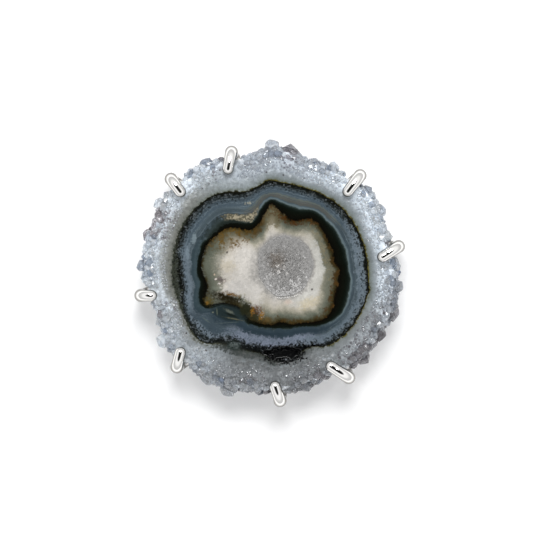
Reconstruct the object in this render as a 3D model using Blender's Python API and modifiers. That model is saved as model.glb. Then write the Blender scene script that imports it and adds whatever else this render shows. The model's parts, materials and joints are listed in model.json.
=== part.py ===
# A slice of an amethyst stalactite, held face up by eight silver prongs on a flat-backed ring.
# The slice lies in the XY plane, its sawn face looks along +Z, and +Y is the top of that face.
# Blender 4.5, metres. Every angle runs counter-clockwise from +X, seen from the front.

import math
import random

import bmesh
import bpy
from mathutils import Vector

MM = 0.001
CONTACT_GAP = 0.05 * MM  # between pieces that touch in the real object

# The slice: radius from its growth centre to the tips of the crystals, every ten degrees
RIM_TIP_RADII_MM = (
    14.45, 14.35, 13.95, 14.25, 14.55, 13.95, 13.75, 13.50, 13.95,
    14.20, 13.50, 13.70, 14.45, 14.80, 14.85, 14.85, 14.80, 14.90,
    14.80, 14.60, 14.15, 14.45, 14.95, 14.55, 14.70, 14.60, 14.10,
    14.10, 14.15, 13.95, 13.90, 14.65, 14.60, 14.50, 14.90, 14.70,
)
SLICE_THICKNESS = 4.5 * MM

# The crust of crystals round the edge, a honeycomb of flat-faced points
CRYSTAL_HEIGHT = 0.72 * MM
CRYSTALS_ROUND = 84
# Each line of the honeycomb, from the back to the front: inset from the crust's foot, and height
EDGE_PROFILE_MM = (
    (1.00, 0.00), (0.20, 0.50), (0.00, 1.45), (0.00, 2.45),
    (0.10, 3.35), (0.60, 4.05), (1.50, 4.50),
)
ZIGZAG = 0.17  # half the height of a cell's point, as a share of a row
HEIGHT_SPREAD = (0.60, 1.15)  # shortest and tallest crystal, as shares of CRYSTAL_HEIGHT
CELL_JITTER = 0.11 * MM
CRYSTAL_LEAN = 0.20  # how far a tip may lean, as a share of its height
CRYSTAL_SEED = 11

# The large six-sided crystals that stand out of the crust.
# Angle, radius of the tip, width, height above the back, and lean towards the front in degrees
LARGE_CRYSTALS_MM = (
    (2, 14.40, 1.3, 2.5, 10), (17, 13.90, 1.3, 3.0, 15), (28, 14.45, 1.5, 2.2, 5),
    (37, 14.35, 1.4, 3.2, 20), (60, 14.00, 1.3, 2.9, 10), (81.5, 14.30, 1.9, 2.2, 0),
    (91, 14.60, 1.6, 3.1, 15), (122.5, 14.60, 1.4, 2.6, 5), (149, 15.20, 1.4, 2.8, 15),
    (164, 15.05, 1.4, 2.1, 0), (179, 15.15, 1.3, 3.0, 15), (205, 14.35, 1.3, 2.4, 10),
    (214, 15.25, 1.6, 2.9, 10), (240, 14.80, 1.5, 2.2, 5), (249, 15.00, 1.8, 3.0, 15),
    (264, 14.10, 1.4, 2.1, 0), (287, 14.20, 1.5, 2.9, 10), (316, 15.00, 1.7, 2.3, 5),
    (330, 14.70, 1.5, 3.1, 15), (341, 15.05, 1.7, 2.2, 0), (352, 14.80, 1.4, 3.0, 15),
)
LARGE_STEM = 2.2 * MM
LARGE_POINT = 0.55  # height of the six-sided point, as a share of the crystal's width

# The druse pocket in the middle of the face, and the crust of crystals in it
POCKET_CENTRE = Vector((1.47 * MM, 0.45 * MM))
POCKET_MOUTH_RADIUS = 3.45 * MM
POCKET_FLOOR_RADIUS = 2.35 * MM
POCKET_DEPTH = 1.10 * MM
CRUST_RINGS = 10
CRUST_BED = 0.45 * MM  # from the face down to the crust's surface, in the middle
CRUST_RIM_DROP = 0.12 * MM
CRUST_POINT = 0.30 * MM

# Two natural hollows in the face: half sizes along, across and down, and where they lie
CREVICE_HALF = Vector((2.10 * MM, 0.52 * MM, 1.20 * MM))
CREVICE_CENTRE = Vector((0.80 * MM, -9.55 * MM))
PIT_HALF = Vector((0.75 * MM, 0.60 * MM, 0.40 * MM))
PIT_CENTRE = Vector((-5.80 * MM, -0.95 * MM))

# The silver: a turned ring with a flat back, and tapered prongs of round wire
RING_RADIUS = 8.5 * MM
RING_WIDTH = 1.8 * MM
RING_HEIGHT = 1.2 * MM
RING_STEPS = 48
PRONG_RADIUS = 0.75 * MM
PRONG_TIP_RADIUS = 0.50 * MM
PRONG_BACK_BEND = 1.3 * MM
PRONG_FRONT_BEND = 1.05 * MM
PRONG_INNER_END = 7.8 * MM
PRONG_CLEARANCE = 0.22 * MM  # between a prong's upright and the crust it passes
BEND_STEPS = 5
# Name, upright's angle and outermost radius, tip's angle and innermost radius, angle at the ring
PRONGS = (
    ("prong_right", 10.5, 15.10, 6.8, 11.75, 13.0),
    ("prong_upper_right", 47.0, 15.15, 46.0, 11.50, 48.0),
    ("prong_top", 109.0, 14.65, 113.5, 11.60, 107.0),
    ("prong_upper_left", 138.0, 15.90, 139.5, 12.75, 136.0),
    ("prong_left", 191.0, 15.65, 192.0, 13.05, 187.0),
    ("prong_lower_left", 225.5, 15.90, 222.0, 13.05, 232.0),
    ("prong_bottom", 273.5, 15.35, 271.5, 12.30, 280.0),
    ("prong_lower_right", 305.5, 15.50, 301.5, 11.90, 312.0),
)

BACK_Z = RING_HEIGHT + 2 * PRONG_RADIUS + 2 * CONTACT_GAP
FACE_Z = BACK_Z + SLICE_THICKNESS


def clear_scene():
    for obj in list(bpy.data.objects):
        bpy.data.objects.remove(obj, do_unlink=True)


def new_collection(name):
    collection = bpy.data.collections.new(name)
    bpy.context.scene.collection.children.link(collection)
    return collection


def new_material(name, colour, roughness, metallic):
    material = bpy.data.materials.new(name)
    material.use_nodes = True
    shader = material.node_tree.nodes["Principled BSDF"]
    shader.inputs["Base Color"].default_value = (*colour, 1)
    shader.inputs["Roughness"].default_value = roughness
    shader.inputs["Metallic"].default_value = metallic
    return material


def object_from_bmesh(bm, name, collection, material=None):
    bmesh.ops.recalc_face_normals(bm, faces=bm.faces)
    mesh = bpy.data.meshes.new(name)
    bm.to_mesh(mesh)
    bm.free()
    obj = bpy.data.objects.new(name, mesh)
    collection.objects.link(obj)
    if material:
        mesh.materials.append(material)
    return obj


def hide_helper(obj):
    obj.hide_render = True
    obj.display_type = "WIRE"
    return obj


def polar(radius, degrees, z=0.0):
    angle = math.radians(degrees)
    return Vector((radius * math.cos(angle), radius * math.sin(angle), z))


def rim_radius(degrees):
    # A closed Catmull-Rom curve through the measured radii
    count = len(RIM_TIP_RADII_MM)
    place = (degrees % 360) / 360 * count
    index = int(place)
    t = place - index
    a, b, c, d = (RIM_TIP_RADII_MM[(index + k) % count] for k in (-1, 0, 1, 2))
    slope = c - a
    bend = 2 * a - 5 * b + 4 * c - d
    twist = 3 * b - a - 3 * c + d
    return (b + 0.5 * t * (slope + t * (bend + t * twist))) * MM


def edge_profile(line):
    # Inset and height at a line of the honeycomb, also between and just past its whole lines
    index = min(max(int(math.floor(line)), 0), len(EDGE_PROFILE_MM) - 2)
    t = line - index
    low, high = EDGE_PROFILE_MM[index], EDGE_PROFILE_MM[index + 1]
    return [(low[k] + t * (high[k] - low[k])) * MM for k in (0, 1)]


def clear_of_prongs(point):
    # Draws a point of the crust in where a prong's upright passes it
    for _, bend_angle, outer_mm, *_ in PRONGS:
        upright = polar(1, bend_angle)
        along = point.x * upright.x + point.y * upright.y
        across = point.x * -upright.y + point.y * upright.x
        limit = outer_mm * MM - 2 * PRONG_RADIUS - PRONG_CLEARANCE
        if abs(across) < PRONG_RADIUS + 2 * PRONG_CLEARANCE and along > limit:
            point = Vector((point.x, point.y, point.z)) - upright * (along - limit)
    return point


def honeycomb_line(line, last, rng):
    # One zigzag line of the crust's valleys round the slice
    points = []
    for column in range(2 * CRYSTALS_ROUND):
        jitter = [rng.uniform(-CELL_JITTER, CELL_JITTER) for _ in range(3)]
        zigzag = ZIGZAG if (column + line) % 2 == 0 else -ZIGZAG
        degrees = 180 * column / CRYSTALS_ROUND
        inset, height = edge_profile(line + zigzag)
        foot = rim_radius(degrees) - CRYSTAL_HEIGHT
        point = polar(foot - inset + jitter[0], degrees, BACK_Z + height + jitter[1])
        point += polar(jitter[2], degrees + 90)
        if line == 0:
            point.z = BACK_Z
        elif line == last:
            point.z = FACE_Z
        points.append(clear_of_prongs(point))
    return points


def grow_crystals(bm, cells, rng):
    # Pokes each cell into a six-sided point, and leans and sizes the points one by one
    for cell in cells:
        cell.normal_update()
        normal = cell.normal.copy()
        tip = bmesh.ops.poke(bm, faces=[cell], center_mode="MEAN")["verts"][0]
        height = CRYSTAL_HEIGHT * rng.uniform(*HEIGHT_SPREAD)
        lean = Vector([rng.uniform(-CRYSTAL_LEAN, CRYSTAL_LEAN) for _ in range(3)])
        point = tip.co + height * (normal + lean)
        point.z = min(max(point.z, BACK_Z + CONTACT_GAP), FACE_Z - CONTACT_GAP)
        tip.co = clear_of_prongs(point)


def make_large_crystals(collection):
    # Six-sided stems with six-sided points; the slice is fused with them
    for angle, tip_mm, width_mm, height_mm, lean in LARGE_CRYSTALS_MM:
        width = width_mm * MM
        bm = bmesh.new()
        bmesh.ops.create_cone(
            bm,
            cap_ends=True,
            segments=6,
            radius1=width / 2,
            radius2=width / 2,
            depth=LARGE_STEM,
        )
        cap = max(bm.faces, key=lambda face: face.calc_center_median().z)
        tip = bmesh.ops.poke(bm, faces=[cap])["verts"][0]
        tip.co.z += LARGE_POINT * width
        height = tip.co.z
        crystal = object_from_bmesh(bm, "large_crystal", collection)
        outward = polar(math.cos(math.radians(lean)), angle, math.sin(math.radians(lean)))
        crystal.rotation_mode = "QUATERNION"
        crystal.rotation_quaternion = outward.to_track_quat("Z", "Y")
        crystal.location = polar(tip_mm * MM, angle, BACK_Z + height_mm * MM) - height * outward
        hide_helper(crystal)


def make_slice(collection, cutters, large_crystals, material):
    rng = random.Random(CRYSTAL_SEED)
    bm = bmesh.new()
    last = len(EDGE_PROFILE_MM) - 1
    lines = []
    for line in range(last + 1):
        lines.append([bm.verts.new(p) for p in honeycomb_line(line, last, rng)])
    around = 2 * CRYSTALS_ROUND
    cells = []
    for line in range(last):
        low, high = lines[line], lines[line + 1]
        for column in range(line % 2, around, 2):
            a, b, c = column, (column + 1) % around, (column + 2) % around
            cells.append(bm.faces.new((low[a], low[b], low[c], high[c], high[b], high[a])))
    bm.faces.new(lines[0][::-1])
    bm.faces.new(lines[last])
    grow_crystals(bm, cells, rng)
    stone = object_from_bmesh(bm, "stalactite_slice", collection, material)
    fuse = stone.modifiers.new("large_crystals", "BOOLEAN")
    fuse.operation = "UNION"
    fuse.operand_type = "COLLECTION"
    fuse.collection = large_crystals
    for cutter in cutters:
        cut = stone.modifiers.new(cutter.name, "BOOLEAN")
        cut.operation = "DIFFERENCE"
        cut.object = cutter
    return stone


def make_pocket_cutter(collection):
    # A dish with a flat floor; it stands proud of the face by as much as it is deep
    bm = bmesh.new()
    slope = (POCKET_MOUTH_RADIUS - POCKET_FLOOR_RADIUS) / POCKET_DEPTH
    bmesh.ops.create_cone(
        bm,
        cap_ends=True,
        segments=6 * CRUST_RINGS,
        radius1=POCKET_FLOOR_RADIUS,
        radius2=POCKET_MOUTH_RADIUS + slope * POCKET_DEPTH,
        depth=2 * POCKET_DEPTH,
    )
    bmesh.ops.translate(bm, verts=bm.verts, vec=(*POCKET_CENTRE, FACE_Z))
    return hide_helper(object_from_bmesh(bm, "pocket_cutter", collection))


def make_hollow_cutter(name, half, centre, collection):
    bm = bmesh.new()
    bmesh.ops.create_uvsphere(bm, u_segments=16, v_segments=8, radius=1)
    bmesh.ops.scale(bm, verts=bm.verts, vec=half)
    bmesh.ops.translate(bm, verts=bm.verts, vec=(*centre, FACE_Z))
    return hide_helper(object_from_bmesh(bm, name, collection))


def crust_point(ring, step, rng):
    # Ring and step count out a hexagonal patch of triangles that is drawn out to a circle
    share = ring / CRUST_RINGS
    degrees = 60 * step / ring if ring else 0
    reach = POCKET_MOUTH_RADIUS - CRUST_RIM_DROP - 2 * CONTACT_GAP
    if ring < CRUST_RINGS:
        degrees += rng.uniform(-8, 8) / (ring + 1)
        reach *= 1 + rng.uniform(-0.02, 0.02)
    sunk = CRUST_BED - (CRUST_BED - CRUST_RIM_DROP) * share**3
    return polar(reach * share, degrees, FACE_Z - sunk) + Vector((*POCKET_CENTRE, 0))


def is_tip(ring, step):
    # Every third corner of the triangles stands up, so each crystal has six faces
    side, along = divmod(step, ring) if ring else (0, 0)
    corners = ((1, 0), (0, 1), (-1, 1), (-1, 0), (0, -1), (1, -1))
    ahead = corners[(side + 2) % 6]
    here = corners[side % 6]
    column = here[0] * ring + ahead[0] * along
    row = here[1] * ring + ahead[1] * along
    return (column - row) % 3 == 0


def make_core_crust(collection, material):
    rng = random.Random(CRYSTAL_SEED)
    bm = bmesh.new()
    rings = []
    for ring in range(CRUST_RINGS + 1):
        verts = []
        for step in range(max(6 * ring, 1)):
            point = crust_point(ring, step, rng)
            if is_tip(ring, step) and ring < CRUST_RINGS:
                point.z += CRUST_POINT * rng.uniform(*HEIGHT_SPREAD)
                point.z = min(point.z, FACE_Z - CONTACT_GAP)
            verts.append(bm.verts.new(point))
        rings.append(verts)
    for ring in range(1, CRUST_RINGS + 1):
        outer, inner = rings[ring], rings[ring - 1]
        for step in range(6 * ring):
            side, along = divmod(step, ring)
            inward = (side * (ring - 1) + along) % len(inner)
            nearer = inner[inward]
            bm.faces.new((outer[step], outer[(step + 1) % len(outer)], nearer))
            if along < ring - 1:
                following = inner[(inward + 1) % len(inner)]
                bm.faces.new((outer[(step + 1) % len(outer)], following, nearer))
    close_crust_below(bm, rings[CRUST_RINGS])
    return object_from_bmesh(bm, "core_crystals", collection, material)


def close_crust_below(bm, edge):
    # A sloping side and a flat floor, a gap clear of the pocket all over
    floor = []
    for step in range(len(edge)):
        point = polar(POCKET_FLOOR_RADIUS - CONTACT_GAP, 360 * step / len(edge))
        point += Vector((*POCKET_CENTRE, FACE_Z - POCKET_DEPTH + CONTACT_GAP))
        floor.append(bm.verts.new(point))
    for step, vert in enumerate(edge):
        after = (step + 1) % len(edge)
        bm.faces.new((vert, floor[step], floor[after], edge[after]))
    bm.faces.new(floor)


def make_base_ring(collection, material):
    # Half-round section, flat below, turned about the slice's growth centre
    half, flat = RING_WIDTH / 2, 0.45 * RING_HEIGHT
    section = ((0.55 * half, RING_HEIGHT), (half, flat), (half, 0), (-half, 0), (-half, flat))
    section += ((-0.55 * half, RING_HEIGHT),)
    mesh = bpy.data.meshes.new("base_ring")
    corners = [(RING_RADIUS + x, 0, z) for x, z in section]
    edges = [(k, (k + 1) % len(corners)) for k in range(len(corners))]
    mesh.from_pydata(corners, edges, [])
    mesh.materials.append(material)
    ring = bpy.data.objects.new("base_ring", mesh)
    collection.objects.link(ring)
    turn = ring.modifiers.new("turn", "SCREW")
    turn.angle = math.tau
    turn.steps = turn.render_steps = RING_STEPS
    turn.use_merge_vertices = True
    turn.merge_threshold = 0.00001
    return ring


def bend(corner, start, end, radius):
    # A quarter turn of the wire inside a corner, from one direction out of it to the other
    centre = corner + radius * (start + end)
    points = []
    for step in range(BEND_STEPS + 1):
        angle = math.pi / 2 * step / BEND_STEPS
        points.append(centre - radius * (math.cos(angle) * end + math.sin(angle) * start))
    return points


def prong_path(bend_angle, outer_mm, tip_angle, tip_mm, ring_angle):
    # The wire's centre line and its radius: along under the slice, up past its edge, over its face
    up = Vector((0, 0, 1))
    back_z = RING_HEIGHT + CONTACT_GAP + PRONG_RADIUS
    front_z = FACE_Z + CONTACT_GAP + PRONG_RADIUS
    tip_z = FACE_Z + CONTACT_GAP + PRONG_TIP_RADIUS
    foot = polar(outer_mm * MM - PRONG_RADIUS, bend_angle, back_z)
    inner_end = polar(PRONG_INNER_END, ring_angle, back_z)
    head = Vector((foot.x, foot.y, front_z))
    tip = polar(tip_mm * MM + PRONG_TIP_RADIUS, tip_angle, tip_z)
    inward = (inner_end - foot).normalized()
    over = Vector((tip.x - head.x, tip.y - head.y, 0)).normalized()
    path = [inner_end]
    path += bend(foot, inward, up, PRONG_BACK_BEND)
    path += bend(head, -up, over, PRONG_FRONT_BEND)
    path.append(tip)
    shares = [0.0]
    for a, b in zip(path, path[1:]):
        shares.append(shares[-1] + (b - a).length)
    taper_from = shares[BEND_STEPS + 2]
    radii = []
    for length in shares:
        t = max(0.0, (length - taper_from) / (shares[-1] - taper_from))
        radii.append(PRONG_RADIUS + t * (PRONG_TIP_RADIUS - PRONG_RADIUS))
    forward = (path[-1] - path[-2]).normalized()
    for degrees in (35, 62, 82):
        angle = math.radians(degrees)
        path.append(tip + forward * PRONG_TIP_RADIUS * math.sin(angle))
        radii.append(PRONG_TIP_RADIUS * math.cos(angle))
    return path, radii


def make_prong(name, places, collection, material):
    path, radii = prong_path(*places)
    curve = bpy.data.curves.new(name, "CURVE")
    curve.dimensions = "3D"
    curve.bevel_depth = PRONG_RADIUS
    curve.bevel_resolution = 3
    curve.use_fill_caps = True
    spline = curve.splines.new("POLY")
    spline.points.add(len(path) - 1)
    for point, place, radius in zip(spline.points, path, radii):
        point.co = (*place, 1)
        point.radius = radius / PRONG_RADIUS
    curve.materials.append(material)
    prong = bpy.data.objects.new(name, curve)
    collection.objects.link(prong)
    return prong


def centre_on_origin(pieces):
    # Parents everything to one empty and moves it, so that the pieces' box is centred on the Z axis
    bpy.context.view_layer.update()
    graph = bpy.context.evaluated_depsgraph_get()
    points = []
    for obj in pieces.objects:
        evaluated = obj.evaluated_get(graph)
        points += [obj.matrix_world @ vertex.co for vertex in evaluated.to_mesh().vertices]
        evaluated.to_mesh_clear()
    carrier = bpy.data.objects.new("setting_origin", None)
    bpy.context.scene.collection.objects.link(carrier)
    for obj in bpy.data.objects:
        if obj != carrier:
            obj.parent = carrier
    for axis in (0, 1):
        values = [point[axis] for point in points]
        carrier.location[axis] = -(min(values) + max(values)) / 2


def main():
    clear_scene()
    pieces = new_collection("amethyst_stalactite_slice")
    helpers = new_collection("cutters")
    large_crystals = new_collection("large_crystals")
    quartz = new_material("banded_quartz", (0.55, 0.58, 0.62), 0.35, 0.0)
    druse = new_material("druse_quartz", (0.62, 0.60, 0.60), 0.2, 0.0)
    silver = new_material("polished_silver", (0.93, 0.92, 0.90), 0.1, 1.0)
    cutters = [
        make_pocket_cutter(helpers),
        make_hollow_cutter("crevice_cutter", CREVICE_HALF, CREVICE_CENTRE, helpers),
        make_hollow_cutter("pit_cutter", PIT_HALF, PIT_CENTRE, helpers),
    ]
    make_large_crystals(large_crystals)
    make_slice(pieces, cutters, large_crystals, quartz)
    make_core_crust(pieces, druse)
    make_base_ring(pieces, silver)
    for name, *places in PRONGS:
        make_prong(name, places, pieces, silver)
    centre_on_origin(pieces)


main()
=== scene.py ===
import json
import math
import random

import bmesh
import bpy
import numpy as np
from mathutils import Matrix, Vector, noise

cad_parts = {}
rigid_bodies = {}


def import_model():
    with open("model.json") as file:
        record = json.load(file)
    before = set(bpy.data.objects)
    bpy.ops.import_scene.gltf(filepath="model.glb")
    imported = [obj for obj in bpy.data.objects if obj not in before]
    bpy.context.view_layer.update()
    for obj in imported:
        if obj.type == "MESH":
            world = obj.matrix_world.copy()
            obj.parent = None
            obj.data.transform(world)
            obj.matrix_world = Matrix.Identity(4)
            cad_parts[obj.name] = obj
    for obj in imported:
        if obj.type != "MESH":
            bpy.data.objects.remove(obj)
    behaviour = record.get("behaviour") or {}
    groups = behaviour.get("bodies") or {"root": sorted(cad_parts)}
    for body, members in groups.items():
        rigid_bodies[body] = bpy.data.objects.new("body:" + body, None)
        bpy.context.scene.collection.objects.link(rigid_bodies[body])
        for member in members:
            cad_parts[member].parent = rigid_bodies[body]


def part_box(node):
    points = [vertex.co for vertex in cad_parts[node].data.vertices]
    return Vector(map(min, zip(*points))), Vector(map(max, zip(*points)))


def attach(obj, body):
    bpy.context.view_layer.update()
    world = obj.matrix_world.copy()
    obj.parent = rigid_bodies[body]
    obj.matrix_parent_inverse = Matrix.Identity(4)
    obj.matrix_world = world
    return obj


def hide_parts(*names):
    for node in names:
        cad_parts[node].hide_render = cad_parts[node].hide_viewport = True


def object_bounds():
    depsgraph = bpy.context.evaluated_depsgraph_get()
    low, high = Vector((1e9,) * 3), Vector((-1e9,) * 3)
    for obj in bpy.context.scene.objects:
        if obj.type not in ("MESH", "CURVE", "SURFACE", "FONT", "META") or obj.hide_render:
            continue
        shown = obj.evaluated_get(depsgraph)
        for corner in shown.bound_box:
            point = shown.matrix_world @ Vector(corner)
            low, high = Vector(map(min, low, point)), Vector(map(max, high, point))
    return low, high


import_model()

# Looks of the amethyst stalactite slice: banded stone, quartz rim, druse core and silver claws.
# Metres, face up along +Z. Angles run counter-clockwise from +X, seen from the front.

cadLow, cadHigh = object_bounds()
mm = 0.001
pixel = 0.1113 * mm  # one pixel of the photo, on the slice's face
photoCentre = (272.0, 270.0)  # the growth centre's pixel in the photo

# Places that the solids give
ringLow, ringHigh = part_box("base_ring")
sliceLow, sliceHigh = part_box("stalactite_slice")
# The centre that the bands grew round, which is the back ring's too
growth = Vector(((ringLow.x + ringHigh.x) / 2, (ringLow.y + ringHigh.y) / 2))
backZ = sliceLow.z
faceZ = sliceHigh.z
ringTop = ringHigh.z

stone = {
    "around": 600,  # points round each ring of the mesh
    "pocketCentre": (1.47, 0.45),  # mm from the growth centre
    "pocketRadius": 3.25,  # mm
    "pocketStretch": 0.16,  # mm added towards the top and the bottom, and taken from the sides
    "pocketWaves": ((0.07, 3, 0.6), (0.05, 7, 2.0), (0.03, 13, 0.0)),  # mm, waves round the mouth, start
    "pocketDepth": 0.95,  # mm
    "mouthRepeats": 12,  # rounds that find the mouth along the rays from the growth centre
    "dishRings": 12,
    "bandRings": (16, 4, 10, 16, 9, 6),  # rings of points in each stretch of the face, outwards
    "roughBand": (4.1, 0.5),  # where on the bands the face turns rough, and over how much of them
    "faceRough": (0.07, 1.7),  # mm deep, and bumps per mm
    "sideRough": (0.22, 0.9),
    "raggedPerMm": 1.6,  # how fine the hollows' ragged outlines are
    "crustFade": 1.2,  # mm down the shoulder, over which the look turns to crust
    "tipToFoot": 0.66,  # mm, from the crystals' tips to the crust they grow on
    # Radius of the crystals' tips in mm, every ten degrees
    "tips": (
        14.45, 14.35, 13.95, 14.25, 14.55, 13.95, 13.75, 13.50, 13.95,
        14.20, 13.50, 13.70, 14.45, 14.80, 14.85, 14.85, 14.80, 14.90,
        14.80, 14.60, 14.15, 14.45, 14.95, 14.55, 14.70, 14.60, 14.10,
        14.10, 14.15, 13.95, 13.90, 14.65, 14.60, 14.50, 14.90, 14.70,
    ),
    # Inset from the crust's foot and height above the back, in mm, from the face's edge down
    "edge": (
        (1.45, 4.50), (1.00, 4.32), (0.60, 4.05), (0.30, 3.72), (0.10, 3.35), (0.03, 2.90), (0.00, 2.45),
        (0.00, 1.95), (0.00, 1.45), (0.08, 0.95), (0.20, 0.50), (0.50, 0.22), (1.00, 0.00),
    ),
    # Natural hollows: centre, half sizes and depth in mm, how ragged, and how gently the wall falls
    "crevice": {"centre": (1.30, -9.35), "half": (2.00, 0.78), "depth": 1.1, "ragged": 1.0, "wall": 0.4},
    "sidePit": {"centre": (-5.80, -0.95), "half": (0.95, 0.75), "depth": 0.06, "ragged": 0.5, "wall": 1.0},
}

# Where the bands change, as (angle, radius in photo pixels) round the growth centre
bandLines = {
    "creamEdge": (
        (0, 67.5), (8, 62), (15, 63.5), (25, 62.5), (35, 64), (47, 65), (55, 62.5), (62, 56), (70, 53.5),
        (77, 56), (85, 61), (90, 66), (95, 60), (100, 53), (106, 48), (115, 45.5), (125, 48.5), (130, 55),
        (137, 61), (150, 66), (160, 70), (175, 71), (185, 68.5), (193, 66.5), (200, 70), (205, 74),
        (209, 71.5), (212, 63), (215, 57), (220, 53.5), (226, 50.5), (232, 50), (240, 52.5), (248, 54.5),
        (255, 55), (270, 55), (280, 52), (288, 57), (300, 61), (310, 67.5), (320, 72.5), (328, 71.5),
        (340, 67.5), (350, 67),
    ),
    "ringEdge": (
        (0, 75.5), (20, 74.5), (35, 73.2), (50, 72.5), (58, 69.5), (67, 66), (75, 65.5), (82, 67),
        (90, 69.5), (95, 67.5), (100, 62.5), (105, 55.5), (112, 52), (120, 54.5), (130, 63.5), (137, 68),
        (150, 70), (163, 74.2), (180, 75.5), (190, 73), (198, 77.5), (205, 79.5), (209, 78), (212, 73),
        (215, 62), (220, 57.5), (226, 54), (232, 53.5), (240, 56.5), (250, 58.5), (265, 58), (280, 59.5),
        (290, 60.5), (300, 65), (310, 72.5), (318, 77.5), (330, 80.5), (345, 79), (353, 77.5),
    ),
    "darkInner": (
        (0, 91.5), (20, 91), (40, 89.5), (60, 87), (75, 84.5), (90, 85.5), (100, 82.5), (108, 80),
        (115, 82.5), (130, 92.5), (142, 95.3), (160, 96), (170, 95), (178, 90.5), (190, 90), (200, 94.5),
        (210, 97.5), (220, 99.5), (228, 97), (233, 87), (240, 80), (250, 78.5), (260, 78), (270, 80),
        (280, 82), (290, 80), (300, 85), (306, 91), (320, 93.5), (332, 95.3), (345, 96.5), (353, 94),
    ),
    "darkOuter": (
        (0, 97), (20, 96), (45, 94), (60, 91.5), (72, 88.8), (82, 89), (92, 90), (100, 85.5), (108, 82.5),
        (114, 86.5), (130, 96), (142, 98.8), (160, 100.5), (190, 100), (200, 98.5), (217, 102),
        (227, 100), (235, 90), (243, 87), (255, 85), (262, 85), (270, 91), (280, 90.5), (290, 87.5),
        (296, 86), (305, 93.5), (315, 97), (330, 99.5), (347, 99.7),
    ),
}

# Each claw: angle and outermost radius in mm of its upright, angle and innermost radius of its tip, and
# the angle where it meets the ring
claws = {
    "right": (10.5, 15.10, 6.8, 11.75, 13.0),
    "upper_right": (47.0, 15.15, 46.0, 11.50, 48.0),
    "top": (109.0, 14.65, 113.5, 11.60, 107.0),
    "upper_left": (138.0, 15.90, 139.5, 12.75, 136.0),
    "left": (191.0, 15.65, 192.0, 13.05, 187.0),
    "lower_left": (225.5, 15.90, 222.0, 13.05, 232.0),
    "bottom": (273.5, 15.35, 271.5, 12.30, 280.0),
    "lower_right": (305.5, 15.50, 301.5, 11.90, 312.0),
}
clawWire = {
    "radius": 0.75 * mm,
    "tipRadius": 0.64 * mm,
    "taperShare": 0.80,  # the share of the way over the front along which the wire narrows
    "backBend": 1.3 * mm,
    "frontBend": 1.05 * mm,
    # The share of each front that the bend runs along, before it lies level on the face
    "frontReach": {
        "right": 0.72, "upper_right": 0.74, "top": 0.88, "upper_left": 0.66,
        "left": 0.72, "lower_left": 0.88, "bottom": 0.90, "lower_right": 0.66,
    },
    "innerEnd": 7.8 * mm,
    "gap": 0.05 * mm,
    "inside": 0.03 * mm,  # how far the round wire stays inside the solids' faceted one
    "clearance": 0.22 * mm,
    "bendSteps": 14,
    "frontSteps": 12,
    "taperPower": 1.2,
    "innerCorner": 0.4,  # the share of the way out to the edge where the wire has its second point
}


def srgb(red, green, blue):
    # A colour as a paint chart gives it, 0 to 255, turned into the linear values that shaders take
    linear = []
    for value in (red, green, blue):
        share = value / 255
        linear.append(share / 12.92 if share <= 0.04045 else ((share + 0.055) / 1.055) ** 2.4)
    return (*linear, 1.0)


def smoothClosed(points, degrees):
    # A smooth closed curve through (angle, radius) points, with no overshoot between them
    angles = np.array([p[0] for p in points], float)
    radii = np.array([p[1] for p in points], float)
    angles = np.concatenate([angles[-2:] - 360, angles, angles[:3] + 360])
    radii = np.concatenate([radii[-2:], radii, radii[:3]])
    widths = np.diff(angles)
    slopes = np.diff(radii) / widths
    tangents = np.zeros(len(angles))
    for k in range(1, len(angles) - 1):
        before, after = slopes[k - 1], slopes[k]
        if before * after > 0:
            tangents[k] = 2 * before * after / (before + after)
    place = np.clip(np.searchsorted(angles, degrees, side="right") - 1, 1, len(angles) - 3)
    t = (degrees - angles[place]) / widths[place]
    start, end = radii[place], radii[place + 1]
    leave, arrive = tangents[place] * widths[place], tangents[place + 1] * widths[place]
    return (
        (2 * t**3 - 3 * t**2 + 1) * start
        + (t**3 - 2 * t**2 + t) * leave
        + (3 * t**2 - 2 * t**3) * end
        + (t**3 - t**2) * arrive
    )


def direction(angle):
    # The cosine and the sine of an angle in degrees
    return math.cos(math.radians(angle)), math.sin(math.radians(angle))


def rays(count):
    # Even angles round the growth centre, with their cosines and sines
    degrees = np.arange(count) * 360 / count
    return degrees, np.cos(np.radians(degrees)), np.sin(np.radians(degrees))


def clearOfClaws(x, y):
    # Draws points in where a claw's upright passes the edge
    radius, clearance = clawWire["radius"], clawWire["clearance"]
    for bendAngle, outerMm, *rest in claws.values():
        ux, uy = direction(bendAngle)
        along, across = x * ux + y * uy, np.abs(-x * uy + y * ux)
        limit = outerMm * mm - 2 * radius - clearance
        over = np.clip(along - limit, 0, None) * np.clip((radius + 3 * clearance - across) / clearance, 0, 1)
        x = x - ux * over
        y = y - uy * over
    return x, y


def hollowDepth(x, y, hollow):
    # How far a natural hollow sinks the face at each point
    cx, cy = (v * mm for v in hollow["centre"])
    hx, hy = (v * mm for v in hollow["half"])
    wobble = [noise.noise(Vector((a, b, 0)) * stone["raggedPerMm"] / mm) for a, b in zip(x, y)]
    distance = ((x - cx) / hx) ** 2 + ((y - cy) / hy) ** 2 + hollow["ragged"] * np.array(wobble)
    return hollow["depth"] * mm * np.clip((1 - distance) / hollow["wall"], 0, 1)


def addObject(name, data):
    obj = bpy.data.objects.new(name, data)
    bpy.context.scene.collection.objects.link(obj)
    return obj


def meshFrom(bm, name):
    mesh = bpy.data.meshes.new(name)
    bm.to_mesh(mesh)
    bm.free()
    return mesh


def bakedMesh(obj):
    # The mesh that an object's wire or modifier gives; the object itself goes
    bpy.context.view_layer.update()
    graph = bpy.context.evaluated_depsgraph_get()
    mesh = bpy.data.meshes.new_from_object(obj.evaluated_get(graph))
    bpy.data.objects.remove(obj)
    return mesh


mergeDistance = 0.005 * mm


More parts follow.
